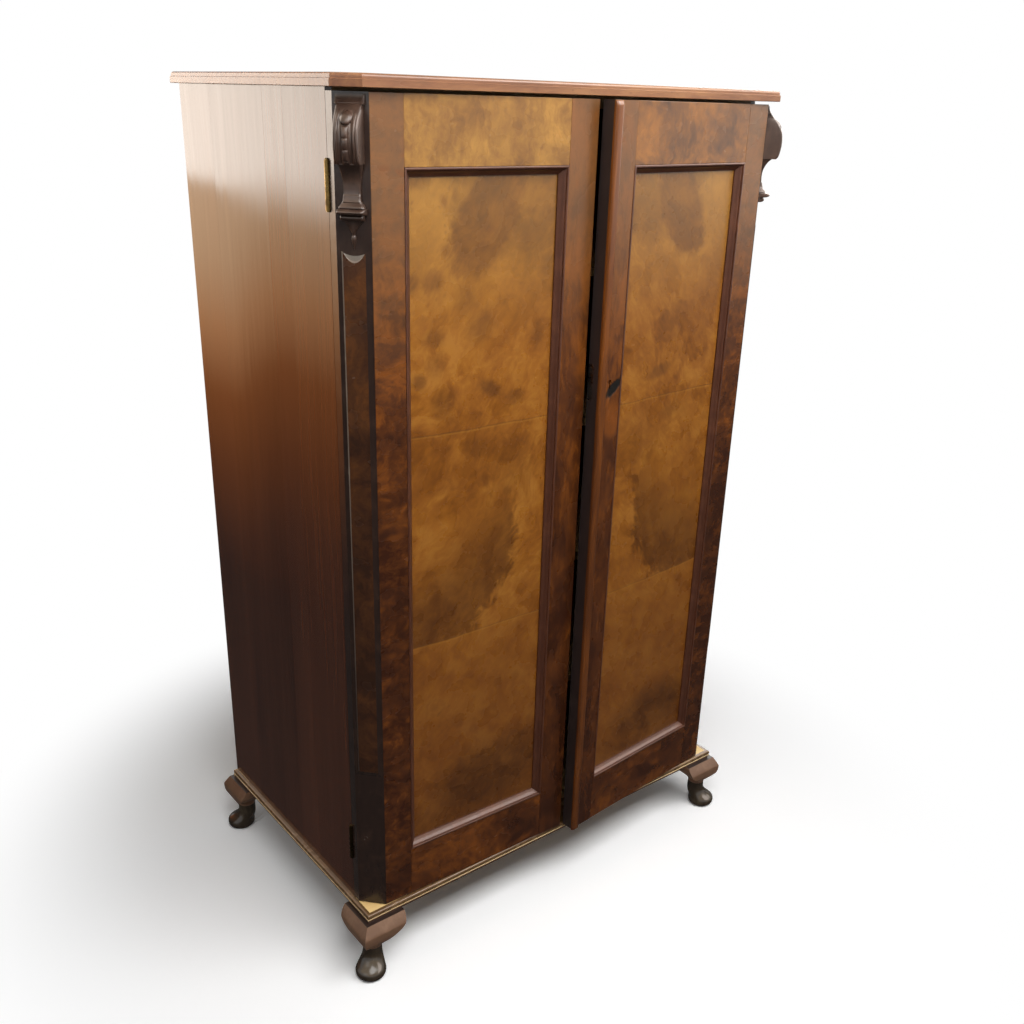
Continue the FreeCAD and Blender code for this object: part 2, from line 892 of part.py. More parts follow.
def corbel():
    """Carved bracket at the head of the post, with its pendant."""
    members = [
        corbel_scroll(corbel_scroll_width, 0),
        corbel_scroll(corbel_reed_width, corbel_reed_proud),
        corbel_band(corbel_cap_shares, corbel_cap_width),
        corbel_neck(),
        corbel_torus(),
        corbel_band(corbel_foot_shares, corbel_foot_width),
        corbel_pendant(),
    ]
    return on_cant(fuse_all(members))


def astragal():
    """Rounded bead planted on the meeting stile of the right door."""
    x0, x1 = meeting_edge, meeting_edge + astragal_width
    ahead = front_y - astragal_proud
    bead = block(x0, x1, ahead, front_y, door_bottom, door_top)
    arris = V(x1, ahead, (door_bottom + door_top) / 2)
    rims = [e for e in bead.Edges if e.CenterOfMass.isEqual(arris, edge_pick_tolerance)]
    return bead.makeFillet(astragal_rounding, rims)


# Lock and strike, drawn on the right door

lock_front = frame_back - lock_thickness
bolt_front = lock_front + bolt_front_wall
bolt_low = key_height - bolt_height / 2


def bolt_space(clearance, start, length):
    """Box of the lock bolt, widened by a clearance."""
    return block(
        start,
        start + length,
        bolt_front - clearance,
        bolt_front + bolt_thickness + clearance,
        bolt_low - clearance,
        bolt_low + bolt_height + clearance,
    )


def keyhole():
    """Round bow and slot of the keyhole, through the stile and into the lock."""
    start = front_y - cut_overrun
    depth = bolt_front - start
    bow = Part.makeCylinder(key_bow_radius, depth, V(key_inset, start, key_height), BACKWARD)
    half = key_slot_width / 2
    slot = block(key_inset - half, key_inset + half, start, bolt_front, key_height - key_slot_drop, key_height)
    return fuse_all([bow, slot])


def lock_space():
    """Room for the lock in the back of the right meeting stile."""
    low = key_height - lock_height / 2
    return block(meeting_edge, meeting_edge + lock_width, lock_front, frame_back, low, low + lock_height)


def lock_case():
    """Lock body with a way for its bolt and the keyhole."""
    start = meeting_edge - cut_overrun
    way = bolt_space(bolt_clearance, start, cut_overrun + bolt_edge_set_in + bolt_length + bolt_clearance)
    return cut_all(lock_space(), [way, keyhole()])


def lock_bolt():
    """Bolt, drawn back inside the lock."""
    return bolt_space(0, meeting_edge + bolt_edge_set_in, bolt_length)


def strike_space():
    """Seat of the strike plate in the meeting edge."""
    middle = bolt_front + bolt_thickness / 2
    low = key_height - strike_height / 2
    return block(
        meeting_edge,
        meeting_edge + strike_thickness,
        middle - strike_width / 2,
        middle + strike_width / 2,
        low,
        low + strike_height,
    )


def strike_pocket():
    """Pocket that takes the shot bolt."""
    return bolt_space(strike_clearance, meeting_edge - cut_overrun, cut_overrun + bolt_throw + strike_end_gap)


# Cabin hook and eye, drawn on the right door's side and mirrored to the left

hook_ring_height = shelf_level(hook_shelf) + shelf_thickness / 2
hook_pivot = V(hook_inset, frame_back + bracket_stand_off, hook_ring_height + eye_drop)
eye_centre = V(hook_inset, hook_pivot.y + hook_reach, hook_ring_height)


def eye_shank():
    """Threaded shank of the eye, in the edge of a shelf."""
    start = V(-eye_centre.x, eye_centre.y + eye_radius, eye_centre.z)
    return Part.makeCylinder(eye_wire_radius, eye_shank_length, start, BACKWARD)


def hook_eye():
    """Ring that the hook drops into, with its shank."""
    centre = V(-eye_centre.x, eye_centre.y, eye_centre.z)
    ring = Part.makeTorus(eye_radius, eye_wire_radius, centre, UP)
    return fuse_all([ring, eye_shank()])


def hook_bracket():
    """Plate with two lugs and a pin that the hook turns on."""
    half_boss = hook_boss_length / 2 + hook_side_gap
    reach = half_boss + bracket_lug
    x, y, z = hook_pivot
    low, high = z - bracket_height / 2, z + bracket_height / 2
    plate = block(x - reach, x + reach, frame_back, frame_back + bracket_plate, low, high)
    lugs = []
    for near in (x - reach, x + half_boss):
        round_end = Part.makeCylinder(hook_boss_radius, bracket_lug, V(near, y, z), ACROSS)
        web = block(near, near + bracket_lug, frame_back, y, z - hook_boss_radius, z + hook_boss_radius)
        lugs += [round_end, web]
    pin = Part.makeCylinder(hook_pin_radius, 2 * reach, V(x - reach, y, z), ACROSS)
    return fuse_all([plate] + lugs + [pin])


def door_hook():
    """Hook hanging straight down from its pin, with its tip turned to the door."""
    x, y, z = hook_pivot
    boss_start = V(x - hook_boss_length / 2, y, z)
    boss = Part.makeCylinder(hook_boss_radius, hook_boss_length, boss_start, ACROSS)
    arm = Part.makeCylinder(hook_wire_radius, hook_reach, V(x, y, z - hook_reach), UP)
    elbow = Part.makeSphere(hook_wire_radius, V(x, y, z - hook_reach))
    tip = Part.makeCylinder(hook_wire_radius, hook_tip_drop, V(x, y, z - hook_reach), V(0, -1, 0))
    bore = Part.makeCylinder(hook_pin_radius + hook_pin_clearance, hook_boss_length, boss_start, ACROSS)
    return fuse_all([boss, arm, elbow, tip]).cut(bore)


# Assembly


def right_hung(shape):
    """A piece of the right door, swung from shut to its place at rest."""
    shape = shape.copy()
    shape.rotate(V(hinge_x, hinge_y, 0), UP, right_ajar)
    return shape


def left_hung(shape):
    """The mirror image of a piece, swung with the left door to its place at rest."""
    shape = mirrored(shape)
    shape.rotate(V(-hinge_x, hinge_y, 0), UP, -left_ajar)
    return shape


def door_nodes(side, hung):
    """Pieces that both doors have, as lists of solids by node."""
    leaves, screws = door_hinges()
    pieces = {name: [shape] for name, shape in frame_pieces().items()}
    pieces["door_panel"] = [panel_shape()]
    pieces["panel_moulding"] = panel_moulding()
    pieces["corner_post"] = [corner_post()]
    pieces["post_field"] = [post_field()]
    pieces["corbel"] = [corbel()]
    pieces["hinge_door_leaves"] = leaves
    pieces["hinge_door_screws"] = screws
    stile = pieces["meeting_stile"][0]
    if side == "right":
        pieces["meeting_stile"] = [cut_all(stile, [lock_space(), keyhole()])]
    else:
        pieces["meeting_stile"] = [cut_all(stile, [strike_space(), strike_pocket()])]
    return {f"{side}_{name}": [hung(shape) for shape in shapes] for name, shapes in pieces.items()}


def carcass_nodes():
    """Pieces of the carcass as lists of solids by node."""
    leaves, pins, screws = carcass_hinges()
    right = {
        "side_boards": side_boards(),
        "shelf_bearers": bearers(),
        "hinge_carcass_leaves": leaves,
        "hinge_pins": pins,
        "hinge_carcass_screws": screws,
    }
    nodes = {f"right_{name}": shapes for name, shapes in right.items()}
    nodes.update({f"left_{name}": [mirrored(s) for s in shapes] for name, shapes in right.items()})
    nodes.update({f"shelf_{index + 1}": [shelf(index)] for index in range(shelf_count)})
    nodes.update({name: [shape] for name, shape in plinth_members().items()})
    nodes.update({name: [shape] for name, shape in feet().items()})
    nodes["foot_dowels"] = foot_dowels()
    nodes["top_board"] = [top_board()]
    nodes["top_screws"] = [top_screw(place) for place in top_screw_places()]
    nodes["top_rails"] = drilled_top_rails()
    nodes["bottom_board"] = [bottom_board()]
    nodes["back_boards"] = back_boards()
    nodes["hook_eye"] = [hook_eye()]
    return nodes


def main():
    """Build every piece and write one file for each node."""
    nodes = carcass_nodes()
    nodes.update(door_nodes("left", left_hung))
    nodes.update(door_nodes("right", right_hung))
    nodes["astragal"] = [right_hung(astragal())]
    nodes["lock_case"] = [right_hung(lock_case())]
    nodes["lock_bolt"] = [right_hung(lock_bolt())]
    nodes["strike_plate"] = [left_hung(strike_space().cut(strike_pocket()))]
    nodes["hook_bracket"] = [left_hung(hook_bracket())]
    nodes["door_hook"] = [left_hung(door_hook())]
    os.makedirs("parts", exist_ok=True)
    for name, shapes in nodes.items():
        whole = shapes[0] if len(shapes) == 1 else Part.makeCompound(shapes)
        whole.exportStep(f"parts/{name}.step")


main()
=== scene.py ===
"""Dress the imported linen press: eased and carved wood, figured veneers, aged brass and a plain studio."""

import json
import logging
import math
from collections.abc import Callable, Sequence
from dataclasses import dataclass, replace
from enum import Enum

import bmesh
import bpy
import numpy as np
from mathutils import Matrix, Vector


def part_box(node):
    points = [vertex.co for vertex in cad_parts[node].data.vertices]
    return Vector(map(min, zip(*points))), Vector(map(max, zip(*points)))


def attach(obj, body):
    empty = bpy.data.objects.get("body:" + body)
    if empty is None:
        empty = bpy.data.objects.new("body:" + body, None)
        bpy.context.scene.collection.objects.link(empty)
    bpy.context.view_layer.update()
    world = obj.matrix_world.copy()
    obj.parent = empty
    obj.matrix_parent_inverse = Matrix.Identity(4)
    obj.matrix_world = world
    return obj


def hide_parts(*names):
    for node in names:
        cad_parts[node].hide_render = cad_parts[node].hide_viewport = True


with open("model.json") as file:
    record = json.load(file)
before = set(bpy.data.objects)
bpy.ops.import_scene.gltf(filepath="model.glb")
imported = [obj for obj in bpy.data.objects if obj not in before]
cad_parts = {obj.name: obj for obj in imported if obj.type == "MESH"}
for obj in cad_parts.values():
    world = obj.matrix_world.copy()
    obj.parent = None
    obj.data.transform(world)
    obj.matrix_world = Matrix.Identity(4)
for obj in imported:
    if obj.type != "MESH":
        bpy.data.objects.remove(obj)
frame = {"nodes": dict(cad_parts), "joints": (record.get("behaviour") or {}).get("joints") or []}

Array = np.ndarray
Triple = tuple[float, float, float]
Stops = tuple[tuple[float, Triple], ...]
Pair = tuple[float, float]
Knots = Sequence[Pair]
LOG = logging.getLogger("linen_press")
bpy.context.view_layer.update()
NODES: dict[str, bpy.types.Object] = frame["nodes"]
JOINTS: dict[str, dict] = {joint["name"]: joint for joint in frame["joints"]}
MM = 0.001
WHITE: Triple = (1.0, 1.0, 1.0)
UPWARD = np.array([0.0, 0.0, 1.0])
FORWARD = np.array([0.0, -1.0, 0.0])


# Shader signals


def operator(operation: str, swapped: bool = False) -> Callable[..., "Signal"]:
    """A method for arithmetic on signals.

    Args:
        operation: The Math node's operation.
        swapped: Put the signal after the other value.

    Returns:
        The method, which adds a Math node.
    """

    def joined(self: "Signal", *others: "Signal | float") -> "Signal":
        """The operation's result."""
        values = (*others, self) if swapped else (self, *others)
        return self.graph.add("Math", dict(enumerate(values)), operation=operation)

    return joined


class Signal:
    """A value, colour or place on its way through a node tree; arithmetic on it adds Math nodes."""

    def __init__(self, graph: "Graph", socket: bpy.types.NodeSocket) -> None:
        """Keep the tree and the socket that the signal leaves from."""
        self.graph, self.socket = graph, socket

    __add__ = __radd__ = operator("ADD")
    __mul__ = __rmul__ = operator("MULTIPLY")
    __sub__, __rsub__ = operator("SUBTRACT"), operator("SUBTRACT", swapped=True)
    __truediv__, __pow__, __abs__ = operator("DIVIDE"), operator("POWER"), operator("ABSOLUTE")
    at_least = operator("MAXIMUM")

    def parts(self) -> list["Signal"]:
        """The three values of a place or colour."""
        return [Signal(self.graph, out) for out in self.graph.node("SeparateXYZ", {0: self}).outputs]

    def noise(self, scale: float, detail: float = 3.0, roughness: float = 0.5) -> "Signal":
        """Soft random value from 0 to 1 at a place, with scale features per metre and finer layers."""
        inputs = {"Vector": self, "Scale": scale, "Detail": detail, "Roughness": roughness}
        return self.graph.add("TexNoise", inputs)

    def stretched(self, factors: Triple, shift: "Signal | Triple" = (0.0, 0.0, 0.0)) -> "Signal":
        """A place scaled along each axis and moved."""
        return self.graph.add("VectorMath", {0: self, 1: factors, 2: shift}, operation="MULTIPLY_ADD")

    def warped(self, scale: float, amount: float) -> "Signal":
        """A place pushed about by a soft random field.

        Args:
            scale: Swirls per metre.
            amount: Largest push in metres.

        Returns:
            The pushed place.
        """
        swirl = self.graph.add("TexNoise", {"Vector": self, "Scale": scale, "Detail": 2.0}, 1)
        push = self.graph.add("VectorMath", {0: swirl, 1: (0.5, 0.5, 0.5)}, operation="SUBTRACT")
        return push.stretched((2 * amount,) * 3, self)

    def turned(self, degrees: float) -> "Signal":
        """A place turned about the y axis."""
        inputs = {"Vector": self, "Angle": math.radians(degrees)}
        return self.graph.add("VectorRotate", inputs, rotation_type="Y_AXIS")

    def cells(self, scale: float) -> tuple["Signal", "Signal"]:
        """Distance to the nearest of scattered points, and that point's random value."""
        outputs = self.graph.node("TexVoronoi", {"Vector": self, "Scale": scale}).outputs
        return Signal(self.graph, outputs["Distance"]), Signal(self.graph, outputs["Color"]).parts()[0]

    def step(self, low: float, high: float) -> "Signal":
        """Smooth step from 0 at low to 1 at high; low may be the larger."""
        inputs = {"Value": self, "From Min": low, "From Max": high}
        return self.graph.add("MapRange", inputs, interpolation_type="SMOOTHSTEP")

    def ramp(self, *stops: tuple[float, Triple]) -> "Signal":
        """Colour from a ramp of stops."""
        return self.graph.add("ValToRGB", {0: self}, stops=stops)

    def mix(self, under: "Signal | Triple", over: "Signal | Triple") -> "Signal":
        """Colour mixed from under, where this value is 0, to over, where it is 1."""
        return self.graph.add("Mix", {0: self, 6: under, 7: over}, 2, data_type="RGBA")

    def bump(self) -> "Signal":
        """Normal bent by a height in metres."""
        return self.graph.add("Bump", {"Strength": 1.0, "Distance": 1.0, "Height": self})


class Graph:
    """Node tree of a material or of the world."""

    def __init__(self, owner: bpy.types.Material | bpy.types.World) -> None:
        """Start with the owner's tree emptied.

        Args:
            owner: The material or world.
        """
        owner.use_nodes = True
        self.owner, self.tree = owner, owner.node_tree
        self.tree.nodes.clear()

    @classmethod
    def paint(cls, name: str) -> "Graph":
        """Graph of a new material."""
        return cls(bpy.data.materials.new(name))

    def node(self, kind: str, inputs: dict | None = None, **settings: object) -> bpy.types.Node:
        """Add a node of any type.

        Args:
            kind: The node's type, without its common prefix.
            inputs: Values or signals by socket name or number; colours have three parts.
            settings: Attributes, set first; "stops" fills a colour ramp in rising order.

        Returns:
            The new node.
        """
        made = self.tree.nodes.new("ShaderNode" + kind)
        for index, (position, colour) in enumerate(settings.pop("stops", ())):
            elements = made.color_ramp.elements
            element = elements[index] if index < len(elements) else elements.new(position)
            element.position, element.color = position, (*colour, 1.0)
        for name, value in settings.items():
            setattr(made, name, value)
        for key, value in (inputs or {}).items():
            socket = made.inputs[key]
            if isinstance(value, Signal):
                self.tree.links.new(value.socket, socket)
            else:
                socket.default_value = (*value, 1.0) if socket.type == "RGBA" else value
        return made

    def add(self, kind: str, inputs: dict | None = None, output: int | str = 0, **settings: object) -> Signal:
        """Add a node and wrap one of its outputs."""
        return Signal(self, self.node(kind, inputs, **settings).outputs[output])

    def place(self) -> Signal:
        """Object coordinates in metres."""
        return self.add("TexCoord", output="Object")

    def axes(self) -> list[Signal]:
        """The x, y and z of the object coordinates."""
        return self.place().parts()


# Finishes


def toned(colour: Triple, factor: float) -> Triple:
    """A colour made lighter or darker by a factor."""
    return tuple(factor * part for part in colour)


@dataclass(frozen=True)
class Finish:
    """A surface: its name, its polish and the nodes that colour it."""

    name: str
    gloss: float = 0.3
    specular: float = 0.5
    metallic: float = 0.0

    def look(self, graph: Graph) -> dict[str, Signal]:
        """Signals, by socket name, for what changes over the surface."""
        raise NotImplementedError

    def material(self) -> bpy.types.Material:
        """The finish as a material, made once.

        Returns:
            The material.
        """
        known = bpy.data.materials.get(self.name)
        if known is None:
            graph = Graph.paint(self.name)
            inputs = {"Roughness": self.gloss, "Metallic": self.metallic, "Specular IOR Level": self.specular}
            graph.node("OutputMaterial", {"Surface": graph.add("BsdfPrincipled", inputs | self.look(graph))})
            known = graph.owner
        return known


@dataclass(frozen=True)
class Cloud:
    """Patch of another tone in a veneer, in metres across from the meeting line and up from the floor."""

    leaf: int
    across: float
    height: float
    reach_across: float
    reach_up: float
    tilt: float
    softness: float
    depth: float

    def strength(self, across: Signal, height: Signal, fray: Signal) -> Signal:
        """A tilted ellipse with a frayed edge.

        Args:
            across: Distance from the meeting line.
            height: Height above the floor.
            fray: What is added to the distance from the middle, which is 1 on the ellipse.

        Returns:
            The patch's strength.
        """
        cosine, sine = math.cos(math.radians(self.tilt)), math.sin(math.radians(self.tilt))
        du, dz = across - self.across, height - self.height
        along = (du * cosine + dz * sine) / self.reach_across
        up = (dz * cosine - du * sine) / self.reach_up
        distance = (along * along + up * up) ** 0.5 + fray
        return distance.step(1 + self.softness, 1 - self.softness) * self.depth


@dataclass(frozen=True)
class BurrWalnut(Finish):
    """Burr veneer in matched leaves, with smoky clouds, flecks and eyes, a painted sheen paler towards the
    top and painted shade darker towards the floor.
    """

    specular: float = 0.45
    seams: tuple[float, ...] = (0.722, 1.137)
    clouds: tuple[Cloud, ...] = ()
    ajar: float = 0.0
    seed: float = 0.0
    eye_share: float = 0.5
    amber: Stops = (
        (0.34, (0.17, 0.052, 0.0052)), (0.44, (0.235, 0.076, 0.0072)),
        (0.53, (0.3, 0.104, 0.0105)), (0.63, (0.37, 0.145, 0.019)),
    )
    smoky: Stops = (
        (0.38, (0.062, 0.019, 0.0038)), (0.5, (0.1, 0.032, 0.005)), (0.62, (0.155, 0.052, 0.007))
    )
    # Painted sheen: paler colour mixed in towards the top, and the heights where it rises
    head: Triple = (0.44, 0.235, 0.045)
    burr_sheen_heights: Pair = (1.25, 1.6)
    # Painted shade: darker colour mixed in towards the floor, and the heights where it deepens
    foot: Triple = (0.12, 0.032, 0.005)
    burr_shade_heights: Pair = (0.95, 0.4)
    eye: Triple = (0.12, 0.035, 0.0045)
    glue: Triple = (0.08, 0.03, 0.008)
    seam_edge: Triple = (0.42, 0.19, 0.03)
    pore: Triple = (0.07, 0.025, 0.006)

    def smoke(self, across: Signal, height: Signal, fray: Signal) -> Signal:
        """All clouds in order, each kept inside its leaf; one of negative depth thins those before it.

        Args:
            across: Distance from the meeting line.
            height: Height above the floor.
            fray: What frays the clouds' edges.

        Returns:
            Their strength together.
        """
        smoke = across * 0.0
        for cloud in self.clouds:
            strength = cloud.strength(across, height, fray)
            if cloud.leaf > 0:
                seam = self.seams[cloud.leaf - 1]
                strength = strength * height.step(seam - MM, seam + MM)
            if cloud.leaf < len(self.seams):
                seam = self.seams[cloud.leaf]
                strength = strength * height.step(seam + MM, seam - MM)
            smoke = smoke.at_least(strength) if cloud.depth > 0 else smoke * (strength + 1.0)
        return smoke

    def look(self, graph: Graph) -> dict[str, Signal]:
        """Amber burr in islands, pips and rings, a painted sheen near the top, painted shade low down, smoky
        clouds and fine seams between the leaves.

        Args:
            graph: The material's graph.

        Returns:
            Signals by socket name.
        """
        x, _, z = graph.axes()
        across = abs(x) - self.ajar
        sheet = graph.add("CombineXYZ", {0: across, 1: self.seed, 2: z})
        drift = sheet.warped(4.0, 0.045)
        curl = drift.warped(17.0, 0.02)
        crimp = curl.warped(70.0, 0.004)
        broad = drift.noise(5.0, 2.0)
        mottle = crimp.noise(22.0, 6.0, 0.6)
        island = curl.noise(12.0, 4.0, 0.55).step(0.43, 0.57)
        fleck = crimp.turned(35.0).stretched((1.0, 1.0, 0.35)).noise(120.0, 3.0, 0.6)
        figure = mottle * 0.4 + broad * 0.18 + fleck * 0.34 + island * 0.08
        # Painted sheen paler towards the top, then painted shade darker towards the floor
        colour = (z.step(*self.burr_sheen_heights) * 0.5).mix(figure.ramp(*self.amber), self.head)
        colour = (z.step(*self.burr_shade_heights) * 0.5).mix(colour, self.foot)
        ring_distance, ring_chance = curl.cells(21.0)
        pip_distance, pip_chance = crimp.cells(62.0)
        patch = drift.noise(6.0, 2.0).step(0.42, 0.6)
        ring = abs(ring_distance - 0.5).step(0.12, 0.0) * 0.4
        eye = ring_distance.step(0.42, 0.1).at_least(ring) * ring_chance.step(0.4, 0.7) * patch
        pip = pip_distance.step(0.36, 0.1) * pip_chance.step(0.62, 0.85) * (0.3 + patch * 0.5)
        colour = (eye.at_least(pip) * self.eye_share).mix(colour, self.eye)
        fray = (mottle - 0.5) * 0.34 + (fleck - 0.5) * 0.22 + (broad - 0.5) * 0.25
        wavy = z + (sheet.noise(7.0) - 0.5) * 0.014
        colour = self.smoke(across, wavy, fray).mix(colour, figure.ramp(*self.smoky))
        for seam in self.seams:
            gap = wavy - seam
            colour = (abs(gap).step(1.6 * MM, 0.4 * MM) * 0.4).mix(colour, self.glue)
            colour = (abs(gap + 3 * MM).step(2.2 * MM, 0.6 * MM) * 0.3).mix(colour, self.seam_edge)
        pores, _ = crimp.stretched((1.0, 1.0, 0.4)).cells(420.0)
        return {
            "Base Color": (pores.step(0.2, 0.08) * 0.3).mix(colour, self.pore),
            "Roughness": 0.2 + sheet.noise(22.0) * 0.16,
            "Normal": (fleck * (0.06 * MM) + sheet.noise(6.0) * (0.6 * MM)).bump(),
        }


@dataclass(frozen=True)
class FiguredWalnut(Finish):
    """Blotched walnut veneer with dark clouds, orange eyes and, here and there, a scar, with painted shade
    towards the floor and a painted sheen near the top.
    """

    gloss: float = 0.26
    specular: float = 0.45
    deep: Triple = (0.04, 0.0105, 0.003)
    body: Triple = (0.088, 0.024, 0.0045)
    light: Triple = (0.19, 0.053, 0.006)
    # Colour of the painted sheen near the top
    pale: Triple = (0.19, 0.092, 0.032)
    blotch: float = 14.0
    draw: Triple = (1.0, 1.0, 0.6)
    lightness: float = 0.0
    eye_size: float = 36.0
    eye_share: float = 0.7
    scars: tuple[tuple[Cloud, Triple], ...] = ()
    # Painted shade: how much darker the tone gets towards the floor, and where
    fall: float = 0.0
    painted_shade_heights: Pair = (1.5, 0.8)
    # Painted sheen: share and heights of the pale colour near the top
    painted_sheen: float = 0.0
    painted_sheen_heights: Pair = (1.2, 1.6)
    seed: float = 0.0

    def look(self, graph: Graph) -> dict[str, Signal]:
        """Blotches drawn out along the grain, with painted shade darker towards the floor and a painted sheen
        paler near the top, light eyes, streaks and scars.

        Args:
            graph: The material's graph.

        Returns:
            Signals by socket name.
        """
        x, _, z = graph.axes()
        place = graph.place().stretched(self.draw, (self.seed,) * 3)
        drift = place.warped(7.0, 0.03)
        curl = drift.warped(30.0, 0.012)
        crimp = curl.warped(90.0, 0.0035)
        streak = crimp.stretched((2.0, 2.0, 0.7)).noise(60.0, 3.0, 0.6)
        tone = crimp.noise(self.blotch, 5.0, 0.6) * 0.66 + streak * 0.34 + self.lightness
        # Painted shade, darker towards the floor
        tone = tone - z.step(*self.painted_shade_heights) * self.fall
        stops = ((0.34, self.deep), (0.47, self.body), (0.6, self.light), (0.7, toned(self.light, 1.3)))
        # Painted sheen, paler near the top
        colour = (z.step(*self.painted_sheen_heights) * self.painted_sheen).mix(tone.ramp(*stops), self.pale)
        distance, chance = curl.cells(self.eye_size)
        eye = distance.step(0.5, 0.12) * chance.step(0.4, 0.75) * drift.noise(8.0, 2.0).step(0.4, 0.56)
        colour = (eye * self.eye_share).mix(colour, toned(self.light, 1.05))
        pores, _ = place.stretched((1.0, 1.0, 0.25)).cells(380.0)
        colour = (pores.step(0.2, 0.08) * 0.4).mix(colour, self.deep)
        gloss = self.gloss - 0.06 + place.noise(18.0) * 0.14
        height = streak * (0.08 * MM) + place.noise(5.0) * (0.5 * MM)
        for scar, shade in self.scars:
            lost = scar.strength(abs(x), z, (streak - 0.5) * 0.7)
            colour = lost.mix(colour, streak.mix(toned(shade, 0.5), toned(shade, 1.5)))
            height = height - lost * (0.3 * MM)
        return {"Base Color": colour, "Roughness": gloss, "Normal": height.bump()}


@dataclass(frozen=True)
class BoardWalnut(Finish):
    """Straight-grained polished boards, each a little different in tone and lie."""

    gloss: float = 0.12
    dark: Triple = (0.045, 0.014, 0.0065)
    light: Triple = (0.12, 0.037, 0.0155)
    pore: Triple = (0.02, 0.008, 0.005)
    lean: float = 0.02

    def look(self, graph: Graph) -> dict[str, Signal]:
        """Upright grain lines over broad bands of tone.

        Args:
            graph: The material's graph.

        Returns:
            Signals by socket name.
        """
        place = graph.place().warped(1.4, 0.02)
        grain = place.stretched((90.0, 90.0, 1.8)).noise(1.0, 5.0, 0.6)
        band = place.stretched((9.0, 9.0, 0.9)).noise(1.0, 2.0)
        board = graph.add("Attribute", output="Fac", attribute_name="board") - 0.5
        tone = grain * 0.55 + band * 0.45 + board * 0.16
        pores, _ = place.stretched((420.0, 420.0, 40.0)).cells(1.0)
        colour = tone.ramp((0.3, self.dark), (0.72, self.light))
        ripple = place.stretched((26.0, 26.0, 2.2)).noise(1.0, 2.0) * (0.5 * MM)
        return {
            "Base Color": (pores.step(0.22, 0.1) * 0.45).mix(colour, self.pore),
            "Roughness": self.gloss + (grain - 0.5) * 0.1,
            "Normal": (graph.axes()[2] * board * self.lean + ripple + grain * (0.05 * MM)).bump(),
        }


@dataclass(frozen=True)
class RubbedWalnutOrPaintedLight(Finish):
    """Dark stained walnut, worn lighter here and there; with other colours the same finish paints shade and
    highlights.
    """

    gloss: float = 0.35
    dark: Triple = (0.022, 0.0125, 0.01)
    rubbed_or_highlight: Triple = (0.09, 0.045, 0.026)
    wear_or_highlight: float = 0.35
    fade: float = 0.0
    fade_heights: Pair = (1.15, 0.5)
    faded: Triple = (0.03, 0.016, 0.012)

    def look(self, graph: Graph) -> dict[str, Signal]:
        """Dark stain with short grain and lighter patches, worn on stains and lit on painted highlights,
        which fade to the stain lower down.

        Args:
            graph: The material's graph.

        Returns:
            Signals by socket name.
        """
        place = graph.place().warped(11.0, 0.02)
        grain = place.stretched((120.0, 120.0, 16.0)).noise(1.0, 4.0, 0.6)
        patch = place.noise(24.0, 4.0, 0.6)
        rub_or_highlight = (patch + (grain - 0.5) * 0.3).step(0.45, 0.75) * self.wear_or_highlight
        colour = rub_or_highlight.mix((grain * 0.35).mix(self.dark, toned(self.rubbed_or_highlight, 0.55)), self.rubbed_or_highlight)
        if self.fade:
            colour = (graph.axes()[2].step(*self.fade_heights) * self.fade).mix(colour, self.faded)
        return {
            "Base Color": colour,
            "Roughness": self.gloss + (patch - 0.5) * 0.25,
            "Normal": (grain * (0.12 * MM) + patch * (0.4 * MM)).bump(),
        }


@dataclass(frozen=True)
class BareWood(Finish):
    """Unpolished pale wood with straight grain along one axis."""

    gloss: float = 0.5
    pale: Triple = (0.56, 0.37, 0.17)
    dark: Triple = (0.33, 0.19, 0.08)
    grain: Triple = (2.0, 60.0, 60.0)

    def look(self, graph: Graph) -> dict[str, Signal]:
        """Early and late wood in long lines over broad tones.

        Args:
            graph: The material's graph.

        Returns:
            Signals by socket name.
        """
        lines = graph.place().warped(2.0, 0.012).stretched(self.grain).noise(1.0, 4.0, 0.6)
        tone = lines * 0.7 + graph.place().noise(3.0, 2.0) * 0.3
        return {
            "Base Color": tone.ramp((0.32, self.dark), (0.62, self.pale)),
            "Roughness": self.gloss + lines * 0.15,
            "Normal": (lines * (0.3 * MM)).bump(),
        }


@dataclass(frozen=True)
class AgedMetal(Finish):
    """Metal gone dull in patches."""

    metallic: float = 1.0
    bright: Triple = (0.3, 0.2, 0.07)
    dull: Triple = (0.11, 0.07, 0.028)
    # Darker colour mixed in lower down: its share, heights and colour
    low_darkening: float = 0.0
    low_darkening_heights: Pair = (0.8, 0.5)
    low_dark_colour: Triple = (0.012, 0.009, 0.006)

    def look(self, graph: Graph) -> dict[str, Signal]:
        """Bright and dull patches with fine scratches, darker lower down.

        Args:
            graph: The material's graph.

        Returns:
            Signals by socket name.
        """
        patch = graph.place().noise(60.0, 4.0, 0.6)
        scratch = graph.place().stretched((300.0, 300.0, 900.0)).noise(1.0, 2.0)
        dull = patch.step(0.4, 0.65)
        low = graph.axes()[2].step(*self.low_darkening_heights) * self.low_darkening
        return {
            "Base Color": low.mix(dull.mix(self.bright, self.dull), self.low_dark_colour),
            "Roughness": 0.22 + dull * 0.3 + scratch * 0.08,
            "Normal": (patch * (0.1 * MM) + scratch * (0.02 * MM)).bump(),
        }


def clouds(*rows: tuple[float, ...]) -> tuple[Cloud, ...]:
    """Clouds from rows of their fields."""
    return tuple(Cloud(*row) for row in rows)


